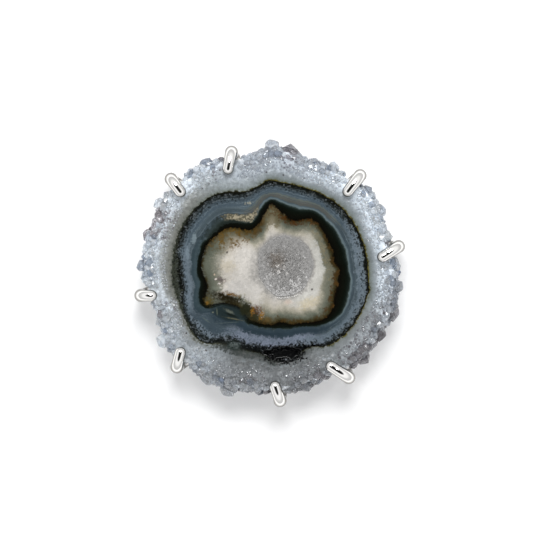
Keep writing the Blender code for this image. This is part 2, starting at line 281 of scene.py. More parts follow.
def faceOutwards(mesh, isSmooth=None):
    # Turns all faces outwards; if some of them are to be smooth, points that meet are merged first
    bm = bmesh.new()
    bm.from_mesh(mesh)
    if isSmooth:
        bmesh.ops.remove_doubles(bm, verts=bm.verts, dist=mergeDistance)
    bmesh.ops.recalc_face_normals(bm, faces=bm.faces)
    if isSmooth:
        for face in bm.faces:
            face.smooth = isSmooth(face)
    bm.to_mesh(mesh)
    bm.free()


def ringsToMesh(name, rings, attributes, closed=True, smooth=False):
    # Joins rings of points into one skin, with a value from each ring as an attribute of its points
    rings = np.array(rings)
    count, around = rings.shape[:2]
    points = rings.reshape(-1, 3)
    faces = []
    for ring in range(count - 1):
        low, high = ring * around, (ring + 1) * around
        for k in range(around):
            after = (k + 1) % around
            faces.append((low + k, low + after, high + after, high + k))
    values = {}
    for key, given in attributes.items():
        given = np.array(given)
        values[key] = np.repeat(given, around) if given.ndim == 1 else given.reshape(-1)
    if closed:
        first, last = len(points), (count - 1) * around
        points = np.concatenate([points, [rings[0].mean(axis=0), rings[-1].mean(axis=0)]])
        for k in range(around):
            after = (k + 1) % around
            faces.append((first, after, k))
            faces.append((first + 1, last + k, last + after))
        values = {key: np.concatenate([v, [v[0], v[-1]]]) for key, v in values.items()}
    mesh = bpy.data.meshes.new(name)
    mesh.from_pydata(points.tolist(), [], faces)
    for key, v in values.items():
        mesh.attributes.new(key, "FLOAT", "POINT").data.foreach_set("value", v.astype(np.float32))
    mesh.validate()
    faceOutwards(mesh)
    if smooth:
        mesh.polygons.foreach_set("use_smooth", [True] * len(mesh.polygons))
    return addObject(name, mesh)


def pocketMouth(turns):
    # Radius of the pocket's uneven mouth round its own centre, in metres
    uneven = sum(size * np.sin(count * turns + start) for size, count, start in stone["pocketWaves"])
    return (stone["pocketRadius"] - stone["pocketStretch"] * np.cos(2 * turns) + uneven) * mm


def stoneEdges(degrees):
    # The radii of the crust's foot and of the flat face's edge
    tips = [(10 * k, tip) for k, tip in enumerate(stone["tips"])]
    foot = smoothClosed(tips, degrees) * mm - stone["tipToFoot"] * mm
    return foot, foot - stone["edge"][0][0] * mm


def ruffled(x, y, z, size, scale):
    # A small wander of each point, the same on every run
    wander = [noise.noise(Vector((a, b, c)) * scale / mm) for a, b, c in zip(x, y, z)]
    return size * np.array(wander)


def makeStone():
    degrees, cos, sin = rays(stone["around"])
    foot, faceEdge = stoneEdges(degrees)
    px, py = (v * mm for v in stone["pocketCentre"])
    mouth = np.full_like(cos, stone["pocketRadius"] * mm)
    for repeat in range(stone["mouthRepeats"]):
        x, y = mouth * cos - px, mouth * sin - py
        mouth = mouth + pocketMouth(np.arctan2(y, x)) - np.hypot(x, y)
    lines = {key: smoothClosed(points, degrees) * pixel for key, points in bandLines.items()}
    grainBand = 4.5
    faceLines = (
        (0, mouth), (1, lines["creamEdge"]), (2, lines["ringEdge"]), (3, lines["darkInner"]),
        (4, lines["darkOuter"]), (grainBand, 0.5 * (lines["darkOuter"] + faceEdge)), (5, faceEdge),
    )
    rings, bands, rates = [], [], []

    def addRing(x, y, z, band, rate=0.0):
        rings.append(np.stack([x + growth.x, y + growth.y, np.broadcast_to(z, x.shape)], axis=1))
        bands.append(band)
        rates.append(np.broadcast_to(rate, x.shape))

    for share in np.linspace(0.05, 1, stone["dishRings"]):  # the dish in the middle, under the druse
        x, y = px + share * (mouth * cos - px), py + share * (mouth * sin - py)
        addRing(x, y, faceZ - stone["pocketDepth"] * mm * (1 - share**7), share - 1)
    roughFrom, roughOver = stone["roughBand"]
    depth, perMm = stone["faceRough"]
    for (startBand, start), (endBand, end), count in zip(faceLines, faceLines[1:], stone["bandRings"]):
        rate = (endBand - startBand) / ((end - start) / mm)
        for part in range(1, count + 1):
            share = part / count
            radius = start + share * (end - start)
            band = startBand + share * (endBand - startBand)
            x, y = radius * cos, radius * sin
            z = faceZ - sum(hollowDepth(x, y, stone[key]) for key in ("crevice", "sidePit"))
            rough = np.clip((band - roughFrom) / roughOver, 0, 1) * depth * mm
            addRing(x, y, z - np.abs(ruffled(x, y, z, rough, perMm)), band, rate)
    depth, perMm = stone["sideRough"]
    for inset, height in stone["edge"][1:]:  # the shoulder, the side and the lower shoulder
        radius = foot - inset * mm
        z = np.full_like(radius, backZ + height * mm)
        radius = radius - np.abs(ruffled(radius * cos, radius * sin, z, depth * mm, perMm))
        x, y = clearOfClaws(radius * cos, radius * sin)
        addRing(x, y, z, 5 + min(1, (stone["edge"][0][1] - height) / stone["crustFade"]))
    backLines = [line for line in faceLines[::-1] if line[0] != grainBand]
    for band, radius in backLines + [(-0.5, 0.5 * mouth), (-0.9, 0.1 * mouth)]:
        addRing(radius * cos, radius * sin, backZ, band)
    return ringsToMesh("banded_slice", rings, {"band": bands, "per_mm": rates}, smooth=True)


def clawPath(reachShare, bendAngle, outerMm, tipAngle, tipMm, ringAngle):
    # The wire's centre line and radii: along under the slice, up past its edge and over its face
    wire = clawWire

    def polar(radius, angle, z):
        cos, sin = direction(angle)
        return Vector((radius * cos, radius * sin, z))

    def bend(corner, start, end, startReach, endReach):
        turns = [math.pi / 2 * k / wire["bendSteps"] for k in range(wire["bendSteps"] + 1)]
        return [corner + startReach * (1 - math.sin(t)) * start + endReach * (1 - math.cos(t)) * end
                for t in turns]

    up = Vector((0, 0, 1))
    backLine = ringTop + wire["gap"] + wire["radius"]
    foot = polar(outerMm * mm - wire["radius"] - wire["inside"], bendAngle, backLine)
    innerEnd = polar(wire["innerEnd"], ringAngle, backLine)
    head = Vector((foot.x, foot.y, faceZ + wire["gap"] + wire["radius"]))
    tip = polar(tipMm * mm + wire["tipRadius"], tipAngle, head.z)
    inward = (innerEnd - foot).normalized()
    over = Vector((tip.x - head.x, tip.y - head.y, 0)).normalized()
    path = [innerEnd, innerEnd.lerp(foot, wire["innerCorner"])]
    path += bend(foot, inward, up, wire["backBend"], wire["backBend"])
    reach = max(wire["frontBend"], reachShare * (tip - head).length)
    turned = bend(head, -up, over, wire["frontBend"], reach)
    path += turned
    path += [turned[-1].lerp(tip, k / wire["frontSteps"]) for k in range(1, wire["frontSteps"] + 1)]
    lengths = [0.0]
    for a, b in zip(path, path[1:]):
        lengths.append(lengths[-1] + (b - a).length)
    taperIndex = 2 + len(turned)
    taperFrom = lengths[taperIndex]
    radii = []
    for length in lengths:
        t = max(0.0, (length - taperFrom) / (wire["taperShare"] * (lengths[-1] - taperFrom)))
        narrowing = max(0.0, 1 - t) ** wire["taperPower"]
        radii.append(wire["tipRadius"] + narrowing * (wire["radius"] - wire["tipRadius"]))
    for index in range(taperIndex, len(path)):
        path[index].z += radii[index] - wire["radius"]  # keeps the wire's underside on the face
    tip = path[-1].copy()
    forward = (path[-1] - path[-2]).normalized()
    for angle in range(12, 88, 12):  # the rounded end
        cos, sin = direction(angle)
        path.append(tip + forward * wire["tipRadius"] * sin)
        radii.append(wire["tipRadius"] * cos)
    return path, radii


def makeClaw(name, places):
    path, radii = clawPath(clawWire["frontReach"][name], *places)
    curve = bpy.data.curves.new(name, "CURVE")
    curve.dimensions = "3D"
    curve.bevel_depth = clawWire["radius"]
    curve.bevel_resolution = 8
    curve.use_fill_caps = True
    spline = curve.splines.new("POLY")
    spline.points.add(len(path) - 1)
    for point, place, radius in zip(spline.points, path, radii):
        point.co = (place.x + growth.x, place.y + growth.y, place.z, 1)
        point.radius = radius / clawWire["radius"]
    mesh = bakedMesh(addObject(name + "_wire", curve))
    faceOutwards(mesh, lambda face: len(face.verts) < 6)
    return addObject("claw_" + name, mesh)


backRing = {
    "radius": 8.5 * mm,
    "halfWidth": 0.9 * mm,
    "wall": 0.36 * mm,  # height of its upright side, under the half-round top
    "corner": 0.10 * mm,
    "around": 180,
    "topSteps": 14,
}


def makeBackRing():
    ring = backRing
    half, corner = ring["halfWidth"], ring["corner"]
    section = [(-half + corner, 0), (-half, corner)]
    for k in range(ring["topSteps"] + 1):
        angle = math.pi * (1 - k / ring["topSteps"])
        section.append((half * math.cos(angle), ring["wall"] + (ringTop - ring["wall"]) * math.sin(angle)))
    section += [(half, corner), (half - corner, 0)]
    turns = np.arange(ring["around"]) * math.tau / ring["around"]
    rings = []
    for offset, z in section + section[:1]:
        radius = ring["radius"] + offset
        x, y = growth.x + radius * np.cos(turns), growth.y + radius * np.sin(turns)
        rings.append(np.stack([x, y, np.full_like(x, z)], axis=1))
    band = ringsToMesh("back_ring", rings, {}, closed=False)
    faceOutwards(band.data, lambda face: abs(face.normal.z) < 0.99)
    return band


# Small helpers for building node trees

def put(tree, kind, inputs=None, **settings):
    # Adds a node; an input is a plain value or another node's output
    node = tree.nodes.new(kind)
    for key, value in settings.items():
        setattr(node, key, value)
    for key, value in (inputs or {}).items():
        if isinstance(value, bpy.types.NodeSocket):
            tree.links.new(value, node.inputs[key])
        else:
            node.inputs[key].default_value = value
    return node


def calc(tree, operation, *values):
    return put(tree, "ShaderNodeMath", dict(enumerate(values)), operation=operation).outputs[0]


def times(tree, product, *factors):
    for factor in factors:
        product = calc(tree, "MULTIPLY", product, factor)
    return product


def plus(tree, base, value, share):
    # The base with a share of the value added to it
    return calc(tree, "MULTIPLY_ADD", value, share, base)


def centred(tree, value):
    # A value from 0 to 1, moved to lie round zero
    return calc(tree, "SUBTRACT", value, 0.5)


def without(tree, value, mask):
    return times(tree, value, calc(tree, "SUBTRACT", 1.0, mask))


def vectorCalc(tree, operation, *values):
    node = put(tree, "ShaderNodeVectorMath", dict(enumerate(values)), operation=operation)
    return node.outputs[1 if operation in ("LENGTH", "DOT_PRODUCT") else 0]


def stretched(tree, vector, factor):
    return put(tree, "ShaderNodeVectorMath", {0: vector, "Scale": factor}, operation="SCALE").outputs[0]


def step(tree, value, low, high, toLow=0.0, toHigh=1.0):
    # A smooth step from one value to another
    return put(tree, "ShaderNodeMapRange", {
        "Value": value, "From Min": low, "From Max": high, "To Min": toLow, "To Max": toHigh,
    }, interpolation_type="SMOOTHSTEP").outputs[0]


def between(tree, value, start, full, fade, end):
    # 1 from full to fade, with soft edges out to start and end
    return times(tree, step(tree, value, start, full), step(tree, value, end, fade))


def blendColour(tree, share, first, second, mode="MIX"):
    node = put(tree, "ShaderNodeMix", {0: share, 6: first, 7: second}, data_type="RGBA", blend_type=mode)
    return node.outputs[2]


def multiplied(tree, colour, tone):
    return blendColour(tree, 1.0, colour, tone, "MULTIPLY")


def tint(tree, colour, mask, strength, rgb):
    return blendColour(tree, times(tree, mask, strength), colour, srgb(*rgb))


def cloud(tree, place, scale, detail=3.0, roughness=0.5):
    return put(tree, "ShaderNodeTexNoise", {
        "Vector": place, "Scale": scale, "Detail": detail, "Roughness": roughness}).outputs[0]


def layers(tree, where, scale, detail, roughness=0.5):
    # Noise along one value only, which makes lines
    node = put(tree, "ShaderNodeTexNoise", {
        "W": where, "Scale": scale, "Detail": detail, "Roughness": roughness}, noise_dimensions="1D")
    return node.outputs[0]


def attribute(tree, name):
    return put(tree, "ShaderNodeAttribute", attribute_name=name).outputs["Fac"]


def newGroup(name, inputs, outputs, treeType="ShaderNodeTree"):
    # A node group with inputs as (label, kind, value) and outputs as (label, kind)
    tree = bpy.data.node_groups.new(name, treeType)
    for label, kind, value in inputs:
        socket = tree.interface.new_socket(label, in_out="INPUT", socket_type="NodeSocket" + kind)
        if value is not None:
            socket.default_value = value
    for label, kind in outputs:
        tree.interface.new_socket(label, in_out="OUTPUT", socket_type="NodeSocket" + kind)
    return tree, tree.nodes.new("NodeGroupInput").outputs


def useGroup(tree, group, inputs):
    return put(tree, "ShaderNodeGroup", inputs, node_tree=group).outputs


def newMaterial(name):
    material = bpy.data.materials.new(name)
    material.use_nodes = True
    material.node_tree.nodes.clear()
    return material, material.node_tree


def finishMaterial(tree, values):
    shader = put(tree, "ShaderNodeBsdfPrincipled", values)
    return put(tree, "ShaderNodeOutputMaterial", {"Surface": shader.outputs[0]})


def placeOnStone(tree):
    # Object coordinates in millimetres, from the growth centre at the face
    coords = put(tree, "ShaderNodeTexCoord").outputs["Object"]
    return put(tree, "ShaderNodeMapping", {
        "Vector": coords, "Scale": (1 / mm, 1 / mm, 1 / mm),
        "Location": (-growth.x / mm, -growth.y / mm, -faceZ / mm)}).outputs[0]


def flatPlace(tree, place):
    return vectorCalc(tree, "MULTIPLY", place, (1, 1, 0))


# The grown crystals, in shares of their width
crystalShape = {
    "kinds": 6,
    "seed": 4,
    "reach": (0.86, 1.08),  # least and most of each corner
    "turn": 5,  # most that a corner strays, in degrees
    "foot": 0.9,
    "stem": 0.95,
    "above": 0.10,
    "lift": 0.09,  # most that a corner rises or sinks
    "lean": 0.12,  # most that the point moves sideways
    "shoulder": 0.30,  # height and width of the second ring of corners, which blunts the point
    "shoulderWidth": 0.56,
    "point": 0.44,
    "pointSpread": (0.92, 1.15),
}


def makeCrystalKinds():
    # A few hexagonal quartz crystals one unit wide, each with its own uneven point
    shape = crystalShape
    rng = random.Random(shape["seed"])

    def either(most):
        return rng.uniform(-most, most)

    kinds = bpy.data.collections.new("crystal_kinds")
    for kind in range(shape["kinds"]):
        bm = bmesh.new()
        corners = []
        for side in range(6):
            reach = 0.5 * rng.uniform(*shape["reach"])
            cos, sin = direction(60 * side + either(shape["turn"]))
            corners.append((reach * cos, reach * sin))
        lift = [either(shape["lift"]) for side in range(6)]
        foot, width = shape["foot"], shape["shoulderWidth"]
        low = [bm.verts.new((x * foot, y * foot, -shape["stem"])) for x, y in corners]
        top = [bm.verts.new((x, y, shape["above"] + lift[k])) for k, (x, y) in enumerate(corners)]
        dx, dy = either(shape["lean"]), either(shape["lean"])
        upper = [bm.verts.new((x * width + dx, y * width + dy, shape["shoulder"] + 0.6 * lift[k]))
                 for k, (x, y) in enumerate(corners)]
        tip = bm.verts.new((1.6 * dx, 1.6 * dy, shape["point"] * rng.uniform(*shape["pointSpread"])))
        for k in range(6):
            after = (k + 1) % 6
            bm.faces.new((low[k], low[after], top[after], top[k]))
            bm.faces.new((top[k], top[after], upper[after], upper[k]))
            bm.faces.new((upper[k], upper[after], tip))
        bm.faces.new(low[::-1])
        bmesh.ops.recalc_face_normals(bm, faces=bm.faces)
        mesh = meshFrom(bm, f"crystal_kind_{kind}")
        kinds.objects.link(bpy.data.objects.new(mesh.name, mesh))
    return kinds


def valueSockets(sockets):
    return [socket for socket in sockets if socket.type == "VALUE"]


def makeScatterTree():
    # Geometry Nodes: stands crystals out of a surface, denser and larger where its attributes say
    labels = {
        "Geometry": "Geometry", "Crystal Kinds": "Collection", "Spacing": "Float", "Most per Area": "Float",
        "Smallest": "Float", "Largest": "Float", "Tilt": "Float", "Dimmest Tone": "Float",
        "Brightest Tone": "Float", "Seed": "Int", "Material": "Material",
    }
    tree, given = newGroup("grow crystals", [(label, kind, None) for label, kind in labels.items()],
                           (("Geometry", "Geometry"),), "GeometryNodeTree")
    cover = put(tree, "GeometryNodeInputNamedAttribute", {"Name": "cover"}, data_type="FLOAT")
    grow = put(tree, "GeometryNodeInputNamedAttribute", {"Name": "grow"}, data_type="FLOAT")
    points = put(tree, "GeometryNodeDistributePointsOnFaces", {
        "Mesh": given["Geometry"], "Distance Min": given["Spacing"], "Density Max": given["Most per Area"],
        "Density Factor": cover.outputs[0], "Seed": given["Seed"]}, distribute_method="POISSON")
    tilt, back = given["Tilt"], times(tree, given["Tilt"], -1.0)
    least = put(tree, "ShaderNodeCombineXYZ", {0: back, 1: back, 2: 0.0})
    most = put(tree, "ShaderNodeCombineXYZ", {0: tilt, 1: tilt, 2: math.tau})
    turn = put(tree, "FunctionNodeRandomValue", {
        "Min": least.outputs[0], "Max": most.outputs[0], "Seed": given["Seed"]}, data_type="FLOAT_VECTOR")
    turned = put(tree, "FunctionNodeEulerToRotation", {0: turn.outputs[0]})
    rotation = put(tree, "FunctionNodeRotateRotation", {
        0: points.outputs["Rotation"], 1: turned.outputs[0]}, rotation_space="LOCAL")
    size = put(tree, "FunctionNodeRandomValue", {"Seed": given["Seed"]}, data_type="FLOAT")
    for label, socket in zip(("Smallest", "Largest"), valueSockets(size.inputs)):
        tree.links.new(given[label], socket)
    scale = times(tree, valueSockets(size.outputs)[0], grow.outputs[0])
    kinds = put(tree, "GeometryNodeCollectionInfo", {
        "Collection": given["Crystal Kinds"], "Separate Children": True, "Reset Children": True})
    placed = put(tree, "GeometryNodeInstanceOnPoints", {
        "Points": points.outputs["Points"], "Instance": kinds.outputs[0], "Pick Instance": True,
        "Rotation": rotation.outputs[0], "Scale": scale})
    share = put(tree, "FunctionNodeRandomValue", {"Seed": 77}, data_type="FLOAT")
    tone = put(tree, "ShaderNodeMapRange", {
        "Value": valueSockets(share.outputs)[0], "To Min": given["Dimmest Tone"],
        "To Max": given["Brightest Tone"]})
    toned = put(tree, "GeometryNodeStoreNamedAttribute", {
        "Geometry": placed.outputs[0], "Name": "tone", "Value": tone.outputs[0]},
        data_type="FLOAT", domain="INSTANCE")
    real = put(tree, "GeometryNodeRealizeInstances", {"Geometry": toned.outputs[0]})
    dressed = put(tree, "GeometryNodeSetMaterial", {
        "Geometry": real.outputs[0], "Material": given["Material"]})
    put(tree, "NodeGroupOutput", {0: dressed.outputs[0]})
    return tree


# How far the crystals stay inside the solids' box and above the back, and may rise over the face
crystalLimits = {"side": 0.02 * mm, "back": 0.01 * mm, "front": 0.12 * mm}


def keptInside(points):
    # Keeps crystals inside the solids' box and off the claws' level
    side = crystalLimits["side"]
    points = np.clip(points, np.array(cadLow) + side, np.array(cadHigh) - side)
    points[:, 2] = np.clip(points[:, 2], backZ + crystalLimits["back"], faceZ + crystalLimits["front"])
    return points


def growCrystals(name, base, tree, kinds, material, settings, seed):
    # Runs the tree on a base surface and keeps only the crystals, as a plain mesh
    modifier = base.modifiers.new("grow crystals", "NODES")
    modifier.node_group = tree
    dimmest, brightest = settings["tones"]
    values = {
        "Crystal Kinds": kinds, "Spacing": settings["spacing"],
        "Most per Area": settings["crowd"] / settings["spacing"] ** 2, "Smallest": settings["smallest"],
        "Largest": settings["largest"], "Tilt": settings["tilt"], "Dimmest Tone": dimmest,
        "Brightest Tone": brightest, "Seed": seed, "Material": material,
    }
    for item in tree.interface.items_tree:
        if item.in_out == "INPUT" and item.name in values:
            modifier[item.identifier] = values[item.name]
    mesh = bakedMesh(base)
    mesh.name = name
    co = np.empty(len(mesh.vertices) * 3)
    mesh.vertices.foreach_get("co", co)
    mesh.vertices.foreach_set("co", keptInside(co.reshape(-1, 3)).reshape(-1))
    print(name, len(mesh.polygons), "faces")
    return addObject(name, mesh)


rim = {
    "around": 300,
    # Angle, spread and strength of the stretches where the crystals are smoky
    "smoky": (
        # The stretches at 262 and 298 degrees also darken the bottom of the rim: partly smoky crystals,
        # partly painted shade
        (81.5, 3.5, 0.8), (118, 6, 0.3), (153, 5, 0.6), (161, 5, 0.4), (196, 6, 0.2), (262, 14, 0.22),
        (298, 12, 0.45), (316, 12, 0.55), (336, 6, 0.35),
    ),
    "smokyReach": 1.4,  # in spreads, how far a stretch goes until it has faded out
    "clearLoss": 0.8,  # the share of clear crystals that a fully smoky stretch lacks
    # No crystals grow within these distances of a claw, in mm: beside its upright, inside its upright, beside
    # its front, and under its front
    "uprightSide": 1.15,
    "uprightInside": 2.6,
    "frontSide": 0.95,
    "frontUnder": 0.8,
}
# The side's crystals and the finer ones of the shoulder; profile is inset from the foot, height above the
# back in mm, and how large they grow there
growths = {
    "side": {
        "spacing": 0.62 * mm, "crowd": 6.0, "smallest": 0.72 * mm, "largest": 1.35 * mm, "tilt": 0.32,
        "tones": (0.0, 1.0),
        "profile": (
            (0.75, 4.17, 0.75), (0.45, 3.92, 0.9), (0.22, 3.60, 1.0), (0.08, 3.25, 1.0), (0.02, 2.90, 1.0),
            (0.00, 2.45, 1.0), (0.00, 1.95, 1.0), (0.00, 1.45, 0.95), (0.08, 0.95, 0.85), (0.20, 0.50, 0.7),
            (0.50, 0.22, 0.5),
        ),
    },
    "shoulder": {
        "spacing": 0.27 * mm, "crowd": 6.0, "smallest": 0.26 * mm, "largest": 0.52 * mm, "tilt": 0.75,
        "tones": (0.24, 0.9),
        "profile": (
            (2.25, 4.50, 0.55), (1.85, 4.48, 0.75), (1.45, 4.44, 0.9), (1.05, 4.33, 1.0), (0.80, 4.20, 1.1),
        ),
    },
}


def clawShade(x, y, z):
    # 1 in the open, 0 where a claw lies over the crust or stands against it
    shade = np.ones_like(x)
    for bendAngle, outerMm, tipAngle, tipMm, ringAngle in claws.values():
        ux, uy = direction(bendAngle)
        along, across = x * ux + y * uy, np.abs(-x * uy + y * ux)
        upright = (across < rim["uprightSide"] * mm) & (along > (outerMm - rim["uprightInside"]) * mm)
        tx, ty = direction(tipAngle)
        start = np.array([tipMm * tx, tipMm * ty]) * mm
        line = np.array([outerMm * ux, outerMm * uy]) * mm - start
        share = np.clip(((x - start[0]) * line[0] + (y - start[1]) * line[1]) / (line @ line), -0.1, 1)
        distance = np.hypot(x - start[0] - share * line[0], y - start[1] - share * line[1])
        over = (distance < rim["frontSide"] * mm) & (z > faceZ - rim["frontUnder"] * mm)
        shade = np.where(upright | over, 0.0, shade)
    return shade


def makeRimBase(name, profile, smoky):
    degrees, cos, sin = rays(rim["around"])
    foot = stoneEdges(degrees)[0]
    patches = np.zeros_like(degrees)
    for angle, spread, strength in rim["smoky"]:
        away = np.abs((degrees - angle + 180) % 360 - 180)
        patches = np.maximum(patches, strength * np.clip(rim["smokyReach"] - away / spread, 0, 1))
    rings, covers, grows = [], [], []
    for inset, height, grow in profile:
        radius = foot - inset * mm
        z = np.full_like(radius, backZ + height * mm)
        x, y = clearOfClaws(radius * cos, radius * sin)
        covers.append(clawShade(x, y, z) * (patches if smoky else 1 - rim["clearLoss"] * patches))
        grows.append(np.full_like(radius, grow))
        rings.append(np.stack([x + growth.x, y + growth.y, z], axis=1))
    return ringsToMesh(name, rings, {"cover": covers, "grow": grows}, closed=False)


# The large crystals: angle, radius of the tip, width, height above the back, lean to the front, smoky or not
largeCrystals = (
    (2, 14.40, 1.3, 2.5, 10, False), (17, 13.90, 1.3, 3.0, 15, False), (28, 14.45, 1.5, 2.2, 5, False),
    (37, 14.35, 1.4, 3.2, 20, False), (60, 14.00, 1.3, 2.9, 10, False), (81.5, 14.30, 1.9, 2.2, 0, True),
    (91, 14.60, 1.6, 3.1, 15, False), (122.5, 14.60, 1.4, 2.6, 5, False), (149, 15.20, 1.4, 2.8, 15, False),
    (164, 15.05, 1.4, 2.1, 0, True), (179, 15.15, 1.3, 3.0, 15, False), (205, 14.35, 1.3, 2.4, 10, False),
    (214, 15.25, 1.6, 2.9, 10, False), (240, 14.80, 1.5, 2.2, 5, False), (249, 15.00, 1.8, 3.0, 15, False),
    (264, 14.10, 1.4, 2.1, 0, False), (287, 14.20, 1.5, 2.9, 10, False), (316, 15.00, 1.7, 2.3, 5, True),
    (330, 14.70, 1.5, 3.1, 15, True), (341, 15.05, 1.7, 2.2, 0, True), (352, 14.80, 1.4, 3.0, 15, False),
)
largeCrystal = {
    "blunt": 0.75,  # height of their points, as a share of the grown crystals'
    "stem": 0.7 * mm,
    "firstTone": 0.45,
    "nextTone": 0.37,  # the step from one crystal's tone to the next
}


def makeLargeCrystals(name, smoky, kinds):
    # The named large crystals, each turned outwards with its tip where the photo shows it
    shapes = list(kinds.objects)
    tones = []
    bm = bmesh.new()
    for index, (angle, tipMm, widthMm, heightMm, lean, isSmoky) in enumerate(largeCrystals):
        if isSmoky != smoky:
            continue
        shape = shapes[index % len(shapes)].data
        ux, uy = direction(angle)
        flat, rise = direction(lean)
        turn = Vector((flat * ux, flat * uy, rise)).to_track_quat("Z", "Y").to_matrix()
        top = max((v.co for v in shape.vertices), key=lambda co: co.z)
        tip = Vector((tipMm * mm * ux + growth.x, tipMm * mm * uy + growth.y, backZ + heightMm * mm))
        places = []
        for v in shape.vertices:
            local = (v.co - top) * widthMm * mm
            local.z *= largeCrystal["blunt"]
            if v.co.z < 0:
                local.z -= largeCrystal["stem"]
            places.append(tip + turn @ local)
        verts = [bm.verts.new(place) for place in keptInside(np.array(places))]
        tones += [(largeCrystal["firstTone"] + largeCrystal["nextTone"] * index) % 1] * len(verts)
        for polygon in shape.polygons:
            bm.faces.new([verts[k] for k in polygon.vertices])
    mesh = meshFrom(bm, name)
    mesh.attributes.new("tone", "FLOAT", "POINT").data.foreach_set("value", tones)
    return addObject(name, mesh)


druse = {
    "around": 160,
    "rings": 26,
    "beyond": 0.03 * mm,  # under the pocket's mouth
    "bed": 0.36 * mm,  # from the face down to the bed in the middle
    "rimDrop": 0.015 * mm,
    "rough": 0.16 * mm,
    "roughPerMm": 1.1,
    # The bed's underside: share of the radius, and mm under the face
    "floor": ((0.99, 0.16), (0.88, 0.5), (0.74, 0.85), (0.35, 0.85)),
    "spacing": 0.15 * mm,
    "crowd": 4.0,
    "smallest": 0.20 * mm,
    "largest": 0.46 * mm,
    "tilt": 0.50,
    "tones": (0.0, 1.0),
}


def makeDruse():
    # The bed that fills the pocket, and a copy of its top that the crystals grow on
    turns = np.arange(druse["around"]) * math.tau / druse["around"]
    cos, sin = np.cos(turns), np.sin(turns)
    cx, cy = growth.x + stone["pocketCentre"][0] * mm, growth.y + stone["pocketCentre"][1] * mm
    edge = pocketMouth(turns) + druse["beyond"]
    rings, covers, grows = [], [], []
    for index in range(1, druse["rings"] + 1):
        share = index / druse["rings"]
        x, y = cx + edge * share * cos, cy + edge * share * sin
        sunk = druse["bed"] + (druse["rimDrop"] - druse["bed"]) * share**2.2
        rough = ruffled(x, y, np.zeros_like(x), druse["rough"] * (1 - share**6), druse["roughPerMm"])
        rings.append(np.stack([x, y, faceZ - sunk - np.abs(rough)], axis=1))
        covers.append(np.clip(1.5 - 1.35 * share, 0, 1))
        grows.append(max(0.28, 1.0 - 0.85 * share**1.6))
    floor = []
    for share, drop in druse["floor"]:
        x, y = cx + edge * share * cos, cy + edge * share * sin
        floor.append(np.stack([x, y, np.full_like(x, faceZ - drop * mm)], axis=1))
    bed = ringsToMesh("core_bed", rings + floor, {}, smooth=True)
    base = ringsToMesh("core_base", rings, {"cover": covers, "grow": grows}, closed=False)
    return bed, base


def makePatchGroup():
    # An oval spot with a ragged, soft edge, for the marks that lie across the bands
    tree, given = newGroup("patch", (
        ("Place", "Vector", None), ("Centre", "Vector", None), ("Half Size", "Vector", (1, 1, 1)),
        ("Turn", "Float", 0.0), ("Ragged", "Float", 0.3), ("Softness", "Float", 0.5)), (("Mask", "Float"),))
    offset = vectorCalc(tree, "SUBTRACT", given["Place"], given["Centre"])
    turned = put(tree, "ShaderNodeVectorRotate", {
        "Vector": offset, "Angle": times(tree, given["Turn"], -1.0)}, rotation_type="Z_AXIS").outputs[0]
    sized = vectorCalc(tree, "DIVIDE", turned, given["Half Size"])
    length = vectorCalc(tree, "LENGTH", flatPlace(tree, sized))
    rough = centred(tree, cloud(tree, given["Place"], 3.2, 5, 0.65))
    length = plus(tree, length, rough, times(tree, given["Ragged"], 4.0))
    inner = calc(tree, "SUBTRACT", 1.0, given["Softness"])
    put(tree, "NodeGroupOutput", {0: step(tree, length, inner, 1.0, 1.0, 0.0)})
    return tree


def spot(tree, patch, place, centre, half, ragged, softness, turn=0):
    # The patch group's mask; centre and half sizes in mm, turn in degrees
    return useGroup(tree, patch, {
        "Place": place, "Centre": (*centre, 0.0), "Half Size": (*half, 1.0), "Turn": math.radians(turn),
        "Ragged": ragged, "Softness": softness})["Mask"]


def makeArcGroup():
    # A stretch of one band, between two places on the bands and within a spread of directions
    tree, given = newGroup("arc", (
        ("Outward", "Vector", None), ("Band", "Float", 0.0), ("Clumps", "Float", 0.0),
        ("Middle", "Vector", (1, 0, 0)), ("Half Spread", "Float", 1.0), ("From", "Float", 0.0),
        ("To", "Float", 1.0), ("Ragged", "Float", 0.3)), (("Mask", "Float"),))
    dot = vectorCalc(tree, "DOT_PRODUCT", given["Outward"], given["Middle"])
    away = calc(tree, "DIVIDE", calc(tree, "ARCCOSINE", dot), given["Half Spread"])
    clumps = times(tree, given["Clumps"], given["Ragged"])
    sides = step(tree, calc(tree, "ADD", away, clumps), 1.0, 0.55)
    width = calc(tree, "SUBTRACT", given["To"], given["From"])
    across = calc(tree, "DIVIDE", calc(tree, "SUBTRACT", given["Band"], given["From"]), width)
    across = calc(tree, "ADD", across, clumps)
    put(tree, "NodeGroupOutput", {0: times(tree, sides, between(tree, across, -0.12, 0.2, 0.8, 1.12))})
    return tree


def stretch(tree, arc, outward, band, clumps, angle, spread, ragged, start=0.0, end=1.0):
    # The arc group's mask; angle and half spread in degrees
    return useGroup(tree, arc, {
        "Outward": outward, "Band": band, "Clumps": clumps, "Middle": (*direction(angle), 0.0),
        "Half Spread": math.radians(spread), "From": start, "To": end, "Ragged": ragged})["Mask"]


